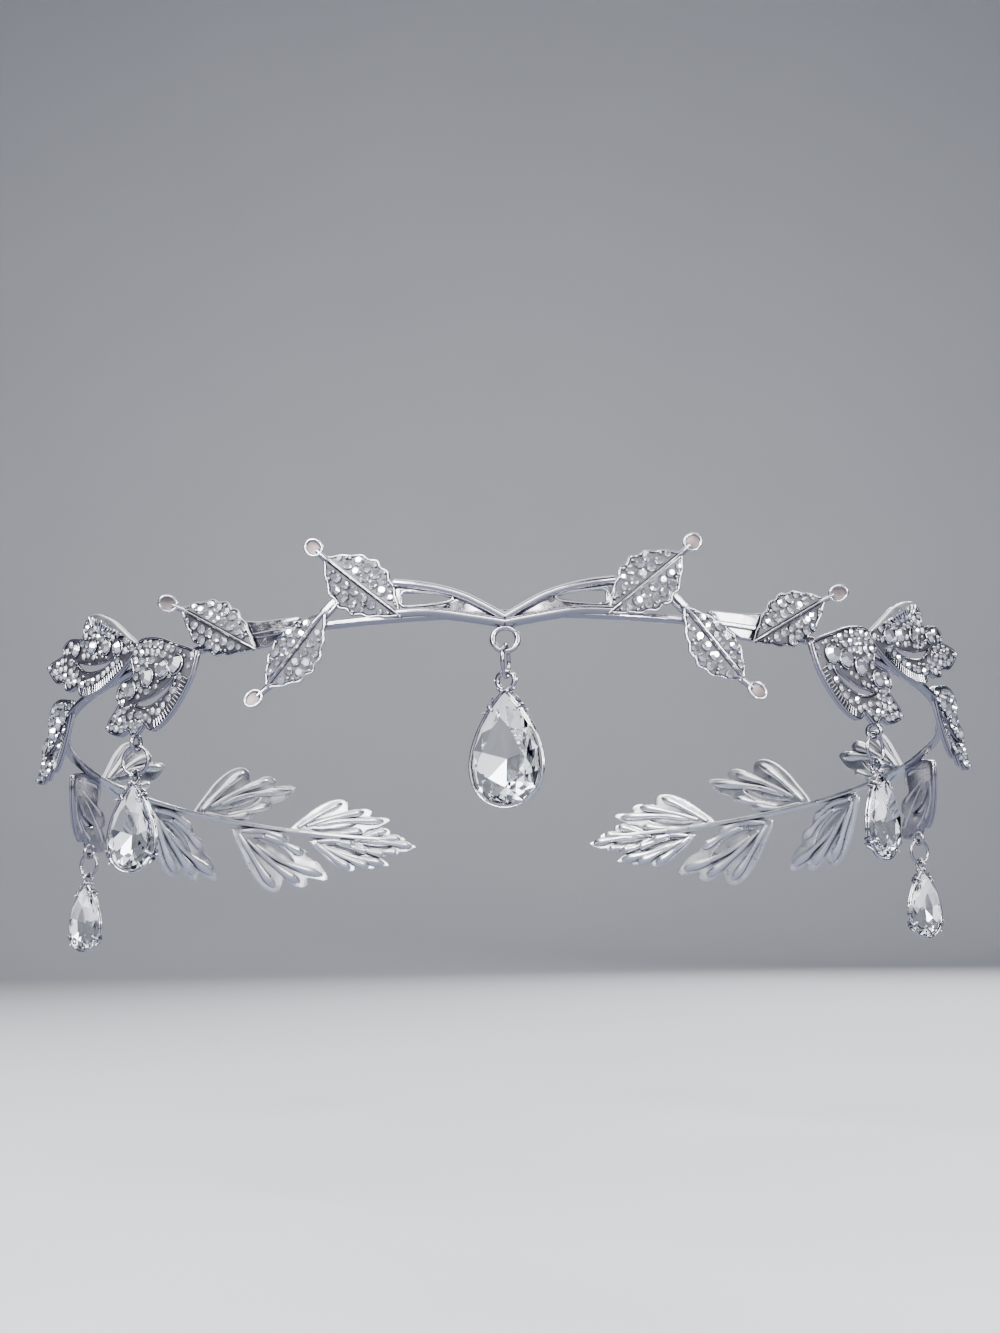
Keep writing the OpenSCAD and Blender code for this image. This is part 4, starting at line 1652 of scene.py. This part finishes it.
class SmallLeafField(StoneField):
    """Pave stones in rows on both halves of a small leaf, on a dark floor of painted shade."""

    stone: float = 1.5
    spread: Point = (0.9, 1.02)
    pitch: float = 1.52
    row_step: float = 1.3
    first_row: float = 0.98
    row_ends: Point = (0.9, 0.6)
    least_room: float = 0.7
    row_margin: float = 0.16
    margin: float = 0.07
    fillers: tuple[float, ...] = (1.15, 0.85, 0.42)
    tries: int = 220
    corner: Point = (0.4, 0.3)
    stone_out: float = 0.2
    bead_out: float = 0.24
    floor_t: float = 0.12
    floor_share: Point = (0.93, 0.9)
    floor_base: float = 0.25

    def fill(self, leaf: SmallLeafPlace) -> None:
        """Sets the leaf's stones, and smaller ones and beads in the gaps between them.

        Args:
            leaf: The leaf.
        """
        edge = small_leaf_edge(leaf)
        start, end = self.row_ends
        for half in (-1, 1):
            self._floor(leaf, half, edge)
            self.taken = []
            for row, y in enumerate(np.arange(self.first_row, leaf.half_width, self.row_step)):
                for x in np.arange(start + 0.5 * self.pitch * (row % 2), leaf.length - end, self.pitch):
                    room = 2 * nearest((x, y), edge) - self.row_margin
                    if room > self.least_room:
                        size = min(room, self.stone * float(self.random.uniform(*self.spread)))
                        self._try(leaf, half, edge, x, y, size)
            for size in self.fillers:
                for _ in range(self.tries):
                    x, y = self.random.uniform(self.corner, (leaf.length - self.corner[0], leaf.half_width))
                    self._try(leaf, half, edge, float(x), float(y), size)

    def _try(self, leaf: SmallLeafPlace, half: int, edge: np.ndarray, x: float, y: float,
             size: float) -> None:
        """Sets a stone or bead on a half where it has room.

        Args:
            leaf: The leaf.
            half: The half, -1 or 1.
            edge: The half's edge.
            x: Its place along the midrib.
            y: Its place across.
            size: Its diameter.
        """
        r = size / 2
        if not self.free(x, y, r, edge) or nearest((x, y), edge) < r + self.margin:
            return
        self.taken.append((x, y, r))
        big = size > self.smallest_stone
        z = SIZES.leaf_out + (self.stone_out if big else self.bead_out)
        here, further = on_small_leaf(leaf, half, np.array([[x, y, z], [x, y, z + 1.0]]), self.side)
        facing = further - here
        self.seat(self.stones if big else self.beads, here, facing / np.linalg.norm(facing), size)

    def _floor(self, leaf: SmallLeafPlace, half: int, edge: np.ndarray) -> None:
        """Lays the dark floor of painted shade under one half's stones.

        Args:
            leaf: The leaf.
            half: Its half, -1 or 1.
            edge: The half's edge.
        """
        middle = leaf.length / 2
        along, across = self.floor_share
        ring = np.column_stack([middle + along * (edge[:, 0] - middle), edge[:, 1] * across])
        outline = np.vstack([[[ring[0, 0], self.floor_base]], ring, [[ring[-1, 0], self.floor_base]]])
        self.floor([outline], self.floor_t, 0.0, lambda points: on_small_leaf(leaf, half, points, self.side))


class SplitLeafField(StoneField):
    """Large stones in bezels, rows of small ones along the edge, ticks on the smooth edge, and a tip bead.

    Narrower lobes have smaller large stones: shrink is the least share, and what full lobes add.
    """

    gap: float = 0.03
    large_size: float = 2.55
    large_step: float = 0.12
    row_size: float = 1.12
    rows: tuple[float, ...] = (1.0, 2.12, 3.24)
    fillers: tuple[float, ...] = (0.95, 0.72, 0.46)
    tries: int = 500
    out: float = 0.55
    large_out: float = 0.08
    bezel_out: float = 0.12
    row_margin: float = 0.1
    edge_margin: float = 0.42
    slit_margin: float = 0.22
    tick_margin: float = 1.3
    tick_first: float = 0.5
    tick_pitch: float = 0.56
    tick_run: tuple[float, ...] = (0.25, 0.75, 1.3)
    tick_out: float = 0.2
    tick_r: float = 0.17
    tip: Point = (19.5, 0.05)
    tip_size: float = 0.95
    tip_out: float = 0.1
    large_gap: float = 0.12
    large_slit_overlap: float = 0.15
    bezel_gap: float = 0.05
    shrink: Point = (0.55, 0.45)
    floor_t: float = 0.1
    floor_centre: float = 9.5
    floor_share: Point = (0.93, 1.16)

    def fill(self, leaf: SplitLeafPlace, scale: float = 1.0) -> None:
        """Sets the leaf's stones and beads.

        Args:
            leaf: The leaf.
            scale: Size of its stones beside those of the front leaves.
        """
        self.edge, self.slit = leaf.rings
        self.ticked = leaf.scaled(smoothed(OUTLINE.smooth_edge, 12, closed=False))
        self.taken = []
        self._floor(leaf)
        shrink = min(1.0, self.shrink[0] + self.shrink[1] * leaf.lobed)
        for k, (x, y) in enumerate(leaf.scaled(OUTLINE.large)):
            size = (self.large_size - self.large_step * k) * scale * shrink
            if nearest((x, y), self.slit) > size / 2 - self.large_slit_overlap:
                self.taken.append((x, y, size / 2 + self.large_gap))
                self._set(self.stones, leaf, x, y, self.out + self.large_out, size)
                cos, sin = (size / 2 + self.bezel_gap) * np.array(circle(20))
                bezel = np.hstack([x + cos, y + sin])
                self.bezels.append(leaf.on_face(bezel, self.out + self.bezel_out, self.side))
        walk = leaf.scaled(smoothed(OUTLINE.edge, 9))
        away = inward(walk)
        for offset in self.rows:
            for x, y in (walk + offset * scale * away).tolist():
                self._try(leaf, x, y, self.row_size * scale, self.stones, offset * scale - self.row_margin)
        low, high = self.edge.min(0), self.edge.max(0)
        for size in self.fillers:
            into = self.stones if size > self.smallest_stone else self.beads
            for _ in range(self.tries):
                x, y = self.random.uniform(low, high).tolist()
                self._try(leaf, x, y, size * scale, into, self.edge_margin + size * scale / 2)
        self._ticks(leaf)

    def _try(self, leaf: SplitLeafPlace, x: float, y: float, size: float, into: list[Seat],
             margin: float) -> None:
        """Sets a stone or bead where it has room.

        Args:
            leaf: The leaf.
            x: Its place along the leaf's axis.
            y: Its place across.
            size: Its diameter.
            into: The list that takes it.
            margin: The least distance from its middle to the leaf's edge.
        """
        r = size / 2
        if not self.free(x, y, r, self.edge) or inside((x, y), self.slit):
            return
        if nearest((x, y), self.edge) < margin or nearest((x, y), self.slit) < r + self.slit_margin:
            return
        if float(np.min(np.linalg.norm(self.ticked - (x, y), axis=1))) < self.tick_margin + r:
            return
        self.taken.append((x, y, r))
        self._set(into, leaf, x, y, self.out, size)

    def _floor(self, leaf: SplitLeafPlace) -> None:
        """Lays the dark floor of painted shade under the stones.

        Args:
            leaf: The leaf.
        """
        rings = []
        centres = (np.array([self.floor_centre * leaf.scale, 0.0]), self.slit.mean(0))
        for ring, centre, share in zip((self.edge, self.slit), centres, self.floor_share):
            rings.append(leaf.drawn(centre + share * (ring - centre)))
        self.floor(rings, self.floor_t, leaf.proud, lambda points: BAND.bent(points, self.side, *leaf.tube))

    def _ticks(self, leaf: SplitLeafPlace) -> None:
        """Adds the short raised ticks along the smooth edge and the bead at the tip.

        Args:
            leaf: The leaf.
        """
        steps = walked(self.ticked)
        lines = []
        for at in np.arange(self.tick_first, steps[-1], self.tick_pitch):
            p, q = (point_on(self.ticked, steps, s) for s in (at, at + 0.1))
            d = (q - p) / max(float(np.linalg.norm(q - p)), 1e-9)
            across = np.array([-d[1], d[0]]) * leaf.hand
            line = np.array([p + across * k for k in self.tick_run])
            lines.append(leaf.on_face(line, SIZES.leaf_out + self.tick_out, self.side))
        self.wire(lines, self.tick_r, self.finishes.bead, sides=6)
        x, y = leaf.scaled([self.tip])[0].tolist()
        self._set(self.beads, leaf, x, y, SIZES.leaf_out + self.tip_out, self.tip_size)

    def _set(self, into: list[Seat], leaf: SplitLeafPlace, x: float, y: float, out: float,
             size: float) -> None:
        """Sets one stone or bead at a place on the leaf's face.

        Args:
            into: The list that takes it.
            leaf: The leaf.
            x: Its place along the leaf's axis.
            y: Its place across.
            out: How far out it lies.
            size: Its diameter.
        """
        place = np.array([[x, y]])
        here, further = (leaf.on_face(place, o, self.side)[0] for o in (out, out + 1.0))
        self.seat(into, here, (further - here) / MM, size)


# ---------------------------------------------------------------- drops


@dataclass(frozen=True)
class Drop:
    """One hanging crystal: its turn, the place it hangs from, its crystal and its eyelet.

    Millimetres and degrees. `below` is how far the eyelet's centre hangs under that place.
    """

    name: str
    turn: float
    loop: np.ndarray
    below: float
    body: str = "crown"
    width: float = 6.8
    height: float = 11.2
    eyelet_r: float = 0.8
    eyelet_wire: float = 0.5
    claws: tuple[int, ...] = (44, 128, 232, 316)
    draw: float = 0.8
    peak: float = 0.801
    gap: float = 0.1
    girdle: float = -0.4
    low: float = 0.09

    def outline(self, width: float, height: float, sides: int) -> np.ndarray:
        """Pear outline from its point, clockwise.

        Args:
            width: Its width.
            height: Its height.
            sides: How many points it has.

        Returns:
            Points about its middle.
        """
        t = np.linspace(0, 2 * math.pi, sides, endpoint=False)
        x = width / 2 * np.sin(t) * np.abs(np.sin(t / 2)) ** self.draw / self.peak
        return np.column_stack([x, height / 2 * np.cos(t)])

    def placed(self, xyz: np.ndarray) -> np.ndarray:
        """Places points of the drop, whose origin is its eyelet's centre, in metres.

        Args:
            xyz: The points, in millimetres.

        Returns:
            The points in metres.
        """
        c, s = math.cos(math.radians(self.turn)), math.sin(math.radians(self.turn))
        x, y, z = xyz.T
        return (np.column_stack([x * c - y * s, x * s + y * c, z]) + self.loop - (0, 0, self.below)) * MM

    @property
    def middle(self) -> float:
        """Height of the crystal's middle above the eyelet's centre."""
        return -self.eyelet_r - self.eyelet_wire / 2 - self.gap - self.height / 2


@dataclass(frozen=True)
class RingSizes:
    """The jump rings."""

    radius: float = 1.95
    wire: float = 0.5
    gap: float = 0.1

    def below(self, carrier_wire: float, eyelet_r: float, eyelet_wire: float) -> float:
        """How far an eyelet's centre hangs below the bottom wire of its loop."""
        ring = self.radius - self.wire / 2 - carrier_wire / 2 - self.gap
        return ring + self.radius + eyelet_r - eyelet_wire / 2 - self.wire / 2 - self.gap


RINGS = RingSizes()


def front_drop() -> Drop:
    """The front drop, below the bottom wire of its loop.

    Returns:
        The drop.
    """
    t = math.radians(BAND.tilt)
    down = np.array([0, -math.sin(t), -math.cos(t)])
    eyelet_r, eyelet_wire = 1.12, 0.65
    return Drop(
        "front_drop", -22, loop_centre(0.0, SIZES.loop_height, 0.0) + SIZES.loop_r * down,
        RINGS.below(SIZES.loop_wire, eyelet_r, eyelet_wire), body="drop", width=8.8, height=13.6,
        eyelet_r=eyelet_r, eyelet_wire=eyelet_wire, claws=(44, 316),
    )


def side_drop(name: str, side: Side, turn: float, arc: float, height: float, out: float) -> Drop:
    """A side drop, below the centre of its loop."""
    below = SIZES.side_loop_r + RINGS.below(SIZES.side_loop_wire, Drop.eyelet_r, Drop.eyelet_wire)
    return Drop(f"{name}_drop_{side.word}", turn, loop_centre(arc, height, out, side), below)


SIDE_DROPS = (
    side_drop("temple", Side.LEFT, -20, 54.2, -10.6, -0.1),
    side_drop("temple", Side.RIGHT, 44, 54.2, -10.6, -0.1),
    side_drop("ear", Side.LEFT, -32, 122.0, -13.3, -0.35),
    side_drop("ear", Side.RIGHT, 28, 122.0, -13.3, -0.35),
)


class PearCrystal:
    """A pear crystal: table, star, main and girdle facets in front, and foiled low facets behind.

    Each row of corners is a share of the outline and a depth behind the girdle, in millimetres.
    """

    table: Point = (0.6, -1.6)
    star: Point = (0.83, -1.12)
    front_girdle: Point = (1.0, -0.15)
    back_girdle: Point = (1.0, 0.15)
    pavilion: Point = (0.5, 0.85)
    culet: Point = (0.0, 1.2)
    clearance: float = 0.995
    sides: int = 16
    foiled: int = 3

    def __init__(self, drop: Drop, finishes: Finishes) -> None:
        """Keeps the drop that the crystal hangs in."""
        self.drop = drop
        self.finishes = finishes

    def _row(self, share: float, depth: float, picks: Sequence[int]) -> np.ndarray:
        """Points of the outline at a share of its size and a depth behind the girdle.

        Args:
            share: The share.
            depth: The depth.
            picks: Which points to take.

        Returns:
            The points.
        """
        drop = self.drop
        size = drop.width * self.clearance, drop.height * self.clearance
        ring = drop.outline(*size, self.sides)[list(picks)]
        z = ring[:, 1] * share - (1 - share) * drop.low * drop.height + drop.middle
        return np.column_stack([ring[:, 0] * share, np.full(len(ring), drop.girdle + depth), z])

    def build(self) -> Object:
        """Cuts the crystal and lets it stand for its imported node.

        Returns:
            The piece.
        """
        n, half = self.sides, self.sides // 2
        even, odd, every = range(0, n, 2), range(1, n, 2), range(n)
        rows = [
            self._row(*self.table, even), self._row(*self.star, odd), self._row(*self.front_girdle, every),
            self._row(*self.back_girdle, every), self._row(*self.pavilion, even), self._row(*self.culet, [0]),
        ]
        start = np.concatenate([[0], np.cumsum([len(r) for r in rows])])
        t, s, f, b, p, c = (int(v) for v in start[:6])
        faces: list[tuple[int, ...]] = [tuple(t + i for i in range(half))]
        foiled: list[tuple[int, ...]] = []
        for i in range(half):
            j = (i + 1) % half
            e, o, k = 2 * i, 2 * i + 1, (2 * i + 2) % n
            faces += [
                (t + i, s + i, t + j), (t + i, s + (i - 1) % half, f + e), (t + i, f + e, s + i),
                (s + i, f + e, f + o), (s + i, f + o, f + k),
                (f + e, b + e, b + o, f + o), (f + o, b + o, b + k, f + k),
            ]
            (foiled if abs(o - half) <= self.foiled else faces).extend([
                (b + e, p + i, b + o), (b + o, p + i, p + j), (b + o, p + j, b + k), (p + i, c, p + j),
            ])
        points = self.drop.placed(np.vstack(rows))
        mesh = bpy.data.meshes.new("crystal")
        mesh.from_pydata(points.tolist(), [], [list(q) for q in faces + foiled])
        mesh.materials.append(self.finishes.crystal)
        mesh.materials.append(self.finishes.foil)
        mesh.polygons.foreach_set("material_index", [0] * len(faces) + [1] * len(foiled))
        shape = bmesh.new()
        shape.from_mesh(mesh)
        bmesh.ops.recalc_face_normals(shape, faces=shape.faces)
        shape.to_mesh(mesh)
        shape.free()
        made = fuse(f"{self.drop.name}_cut_crystal", [mesh])
        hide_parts(f"{self.drop.name}_crystal")
        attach(made, self.drop.body)
        return made


class ClawSetting(Assembly):
    """Open rim of two wires, hooked claws with spiked shoulders, and a petalled cap under the eyelet.

    Millimetres and degrees. A step of a rod is its share of the way from its start to its end, its
    depth behind the crystal's plane, and its width as a share of the rods' radius.
    """

    lip_steps: int = 48
    lip_over: float = 0.55
    lip_depths: Point = (-0.5, -0.1)
    lip_r: float = 0.17
    rod_r: float = 0.28
    post_every: int = 6
    post: tuple[Spot, ...] = ((0, -0.5, 0.6), (0, -0.3, 0.6), (0, -0.1, 0.6))
    hook_away: Point = (0.42, -0.35)
    hook: tuple[Spot, ...] = ((0, 0.35, 0.8), (0, -0.5, 1.1), (0.5, -1.02, 1.0), (1, -1.1, 0.6))
    hook_tip: float = 0.5
    spike_turns: tuple[int, int] = (-11, 11)
    spike_away: Point = (0.4, 0.78)
    spike: tuple[Spot, ...] = ((0, 0.1, 1.0), (0.5, -0.45, 0.75), (1, -0.8, 0.25))
    cap: tuple[Point, ...] = ((14, -0.75), (346, -0.75), (20, 0.35), (340, 0.35))
    cap_away: float = 0.1
    cap_swell: Point = (0.22, 0.4)
    cap_widths: Spot = (1.0, 1.25, 0.4)
    petals: int = 9
    petal_size: float = 0.46
    petal_sunk: float = 0.02
    petal_below: float = 0.6

    def __init__(self, drop: Drop, makers: Makers, finishes: Finishes) -> None:
        """Keeps the drop that the setting belongs to, and what it is made with.

        Args:
            drop: The drop.
            makers: Makers of wire, stones and grains.
            finishes: The finishes.
        """
        super().__init__(makers, finishes)
        self.drop = drop
        self.lines: list[np.ndarray] = []
        self.widths: list[np.ndarray] = []
        self.tips: list[Seat] = []

    def _edge(self, degrees: float, away: float) -> np.ndarray:
        """A place on the crystal's outline, measured from its point, and so far outside it.

        Args:
            degrees: Turn about the middle from the point.
            away: How far outside.

        Returns:
            The point.
        """
        sin, cos = math.sin(math.radians(degrees)), math.cos(math.radians(degrees))
        k = abs(math.sin(math.radians(degrees) / 2)) ** self.drop.draw / self.drop.peak
        x = self.drop.width / 2 * sin * k + away * sin
        return np.array([x, 0.0, self.drop.height / 2 * cos + away * cos + self.drop.middle])

    def _rod(self, points: Sequence[np.ndarray], widths: Sequence[float]) -> None:
        """Adds a tapered rod through points of the drop.

        Args:
            points: The points.
            widths: Its widths along the way.
        """
        line = smoothed(np.array(points), 3, closed=False)
        self.lines.append(self.drop.placed(line))
        self.widths.append(stretched(widths, len(line)))

    def _between(self, start: np.ndarray, end: np.ndarray, steps: Sequence[Spot]) -> None:
        """Adds a tapered rod from a start to an end, by its steps."""
        points = [start + share * (end - start) + (0, depth, 0) for share, depth, _ in steps]
        self._rod(points, [width for *_, width in steps])

    def _claw(self, degrees: float) -> None:
        """Adds one claw: a hook over the crystal's edge between two short spikes.

        Args:
            degrees: Its place, as in `_edge`.
        """
        base, over = (self._edge(degrees, away) for away in self.hook_away)
        self._between(base, over, self.hook)
        self.tips.append(Seat(self.lines[-1][-1], np.array([0, -1.0, 0]), self.hook_tip * MM, 0.0))
        near, far = self.spike_away
        for turn in self.spike_turns:
            self._between(self._edge(degrees + 0.5 * turn, near), self._edge(degrees + turn, far), self.spike)

    def _cap(self) -> None:
        """Adds the cap over the crystal's point: four petals that run down its edges."""
        top = np.array([0, 0, -self.drop.eyelet_r])
        aside, behind = self.cap_swell
        for degrees, depth in self.cap:
            end = self._edge(degrees, self.cap_away) + (0, depth, 0)
            middle = (top + end) / 2 + (aside * np.sign(end[0]), behind * depth, 0)
            self._rod([top, middle, end], self.cap_widths)

    def _upright(self, angles: np.ndarray, radius: float) -> np.ndarray:
        """Points about the eyelet's centre, square to the ring that the eyelet hangs in.

        Args:
            angles: Their turns.
            radius: Their distance.

        Returns:
            The points.
        """
        turn = 0.0 if self.drop.body == "drop" else math.pi / 2
        sin = np.sin(angles)
        return radius * np.column_stack([sin * math.cos(turn), sin * math.sin(turn), np.cos(angles)])

    def _eyelet(self) -> None:
        """Adds the eyelet, with grains round it like a small flower."""
        drop = self.drop
        around = drop.eyelet_r + drop.eyelet_wire / 2 - self.petal_sunk
        for point in self._upright(np.linspace(0, 2 * math.pi, self.petals)[1:-1], around):
            if point[2] < drop.eyelet_r * self.petal_below:
                at = drop.placed(point[None])[0]
                self.tips.append(Seat(at, np.array([0, 0, 1.0]), self.petal_size * MM, 0.0))
        ring = self._upright(np.linspace(0, 2 * math.pi, 32, endpoint=False), drop.eyelet_r)
        self.wire([drop.placed(ring)], drop.eyelet_wire / 2, self.finishes.silver, closed=True, sides=10)

    def build(self) -> Object:
        """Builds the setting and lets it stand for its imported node.

        Returns:
            The piece.
        """
        drop = self.drop
        ring = drop.outline(drop.width + self.lip_over, drop.height + self.lip_over, self.lip_steps)
        lips = [
            drop.placed(np.column_stack([ring[:, 0], np.full(len(ring), y), ring[:, 1] + drop.middle]))
            for y in self.lip_depths
        ]
        self.wire(lips, self.lip_r, self.finishes.bead, closed=True, sides=6)
        for x, z in ring[::self.post_every]:
            at = np.array([x, 0.0, z + drop.middle])
            self._between(at, at, self.post)
        for degrees in drop.claws:
            self._claw(degrees)
        self._cap()
        self._eyelet()
        self.wire(self.lines, self.rod_r, self.finishes.silver, width=self.widths)
        self.grains(self.tips)
        made = fuse(f"{drop.name}_claw_setting", self.parts)
        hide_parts(f"{drop.name}_setting")
        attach(made, drop.body)
        return made


# ---------------------------------------------------------------- studio


@dataclass(frozen=True)
class Lamp:
    """A soft rectangular light that faces the tiara. Metres and watts."""

    name: str
    at: Spot
    size: Point
    power: float

    def build(self) -> None:
        """Adds the light."""
        lamp = bpy.data.lights.new(self.name, "AREA")
        lamp.shape = "RECTANGLE"
        lamp.size, lamp.size_y = self.size
        lamp.energy = self.power
        made = added(self.name, lamp)
        made.location = self.at
        made.rotation_euler = (Vector() - Vector(self.at)).to_track_quat("-Z", "Y").to_euler()


def by_ray(web: Web, rays: tuple[str, str], operation: str, usual: Any, other: Colour) -> NodeSocket:
    """Adds a colour that changes with the kind of ray.

    Args:
        web: The web of a material or of the world.
        rays: Two outputs of Light Path.
        operation: What makes one value of the two.
        usual: The colour where that value is 0, or its socket.
        other: The colour where it is 1.

    Returns:
        The colour.
    """
    path = web.add("ShaderNodeLightPath")
    share = web.add("ShaderNodeMath", {
        0: path.outputs[rays[0]], 1: path.outputs[rays[1]],
    }, operation=operation, use_clamp=True)
    return web.mix(share, usual, (*other, 1))


@dataclass(frozen=True)
class Studio:
    """Pale floor with a curved rise behind, soft lights, dim surroundings and the camera.

    Metres and degrees. The floor is darker in mirror images; the surroundings are pale where the
    camera sees them, straight or through a crystal.
    """

    floor_z: float = -0.075
    front: float = -2.4
    depth: float = 1.6
    half_width: float = 3.0
    rise: float = 1.3
    bend: float = 0.5
    bend_steps: int = 16
    pale: Colour = (0.66, 0.67, 0.70)
    paler: Colour = (0.70, 0.71, 0.74)
    cloud: Point = (6.0, 2.0)
    floor_roughness: float = 0.8
    mirrored: Colour = (0.16, 0.18, 0.24)
    surroundings: Colour = (0.065, 0.077, 0.109)
    seen: Colour = (0.3, 0.31, 0.33)
    camera_at: Spot = (-0.0015655, -0.2403532, -0.0269955)
    camera_turn: Spot = (100.2618, 0.9309, -0.1308)
    lens: float = 37.81
    sensor: float = 36.0
    clip: Point = (0.01, 20.0)
    lamps: tuple[Lamp, ...] = (
        Lamp("key", (-0.45, -0.55, 0.55), (0.42, 0.42), 11.0),
        Lamp("fill", (0.6, -0.45, 0.3), (0.25, 0.4), 4.5),
        Lamp("front", (0.0, -0.6, 0.42), (0.3, 0.12), 2.6),
        Lamp("spark", (0.35, -0.62, 0.12), (0.08, 0.08), 1.6),
        Lamp("glint", (-0.3, -0.62, 0.2), (0.08, 0.08), 1.6),
        Lamp("card", (0.0, -0.9, 0.16), (1.0, 0.36), 2.4),
        Lamp("top", (0.0, 0.1, 0.6), (1.0, 0.7), 5.0),
        Lamp("back", (0.35, 0.8, 0.45), (0.3, 0.15), 5.0),
    )

    def floor(self, effects: Effects) -> Object:
        """Makes the pale floor and its curved rise, front to back.

        Args:
            effects: The shared groups.

        Returns:
            The floor.
        """
        start = self.depth - self.bend
        profile = [(self.front, self.floor_z), (start, self.floor_z)]
        for a in np.linspace(0, math.pi / 2, self.bend_steps + 1)[1:]:
            profile.append((start + self.bend * math.sin(a), self.floor_z + self.bend * (1 - math.cos(a))))
        profile.append((self.depth, self.floor_z + self.rise + self.bend))
        points = [(x, y, z) for y, z in profile for x in (-self.half_width, self.half_width)]
        faces = [(2 * i, 2 * i + 1, 2 * i + 3, 2 * i + 2) for i in range(len(profile) - 1)]
        mesh = bpy.data.meshes.new("floor")
        mesh.from_pydata(points, [], faces)
        for face in mesh.polygons:
            face.use_smooth = True
        material, web, shader = principled("pale_floor")
        tint = effects.tint(web, self.pale, self.paler, self.cloud)
        colour = by_ray(web, ("Is Glossy Ray", "Is Transmission Ray"), "SUBTRACT", tint, self.mirrored)
        web.set(shader, {"Base Color": colour, "Roughness": self.floor_roughness})
        mesh.materials.append(material)
        made = added("pale_floor", mesh)
        return made

    def world(self) -> None:
        """Adds the surroundings."""
        world = bpy.data.worlds.new("studio")
        world.use_nodes = True
        web = Web(world.node_tree)
        web.set(web.tree.nodes["Background"], {"Color": by_ray(
            web, ("Is Camera Ray", "Is Transmission Ray"), "ADD", (*self.surroundings, 1), self.seen,
        )})
        bpy.context.scene.world = world

    def camera(self) -> None:
        """Sets the camera at the photograph's angle."""
        lens = bpy.data.cameras.new("camera")
        lens.lens = self.lens
        lens.sensor_width = self.sensor
        lens.clip_start, lens.clip_end = self.clip
        made = added("camera", lens)
        made.location = self.camera_at
        made.rotation_euler = [math.radians(a) for a in self.camera_turn]
        bpy.context.scene.camera = made

    def build(self, effects: Effects) -> None:
        """Builds the whole studio.

        Args:
            effects: The shared groups.
        """
        self.floor(effects)
        for lamp in self.lamps:
            lamp.build()
        self.world()
        self.camera()


# ---------------------------------------------------------------- the tiara


FIRST_SEEDS = {Side.LEFT: 10, Side.RIGHT: 50}
SPRAY_SCALE = 0.85


def dress_nodes(finishes: Finishes) -> None:
    """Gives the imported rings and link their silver.

    Args:
        finishes: The finishes.
    """
    for name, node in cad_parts.items():
        if name.endswith(("_ring", "_link")):
            node.data.materials.clear()
            node.data.materials.append(finishes.silver)


def fill_fields(makers: Makers, finishes: Finishes) -> None:
    """Builds every field of stones on both sides.

    Args:
        makers: Makers of wire, stones and grains.
        finishes: The finishes.
    """
    for side in Side:
        seed = FIRST_SEEDS[side]
        for kind, leaves, first in ((SmallLeafField, SMALL_LEAVES, 0), (SplitLeafField, SPLIT_LEAVES, 10)):
            for i, leaf in enumerate(leaves):
                field = kind(leaf.name, side, makers, finishes, seed + first + i)
                field.fill(leaf)
                field.build()
        spray = SplitLeafField("back_spray", side, makers, finishes, seed + 20)
        for leaf in BACK_LEAVES:
            spray.fill(leaf, SPRAY_SCALE)
        spray.build()


def main() -> None:
    """Builds the tiara and the studio."""
    logging.basicConfig(level=logging.INFO, format="%(name)s: %(message)s")
    makers, finishes = Makers(), Finishes()
    SilverFrame(makers, finishes).build()
    fill_fields(makers, finishes)
    for drop in (front_drop(), *SIDE_DROPS):
        PearCrystal(drop, finishes).build()
        ClawSetting(drop, makers, finishes).build()
        LOG.info("%s: crystal and setting", drop.name)
    dress_nodes(finishes)
    Studio().build(finishes.effects)


if __name__ == "__main__":
    main()
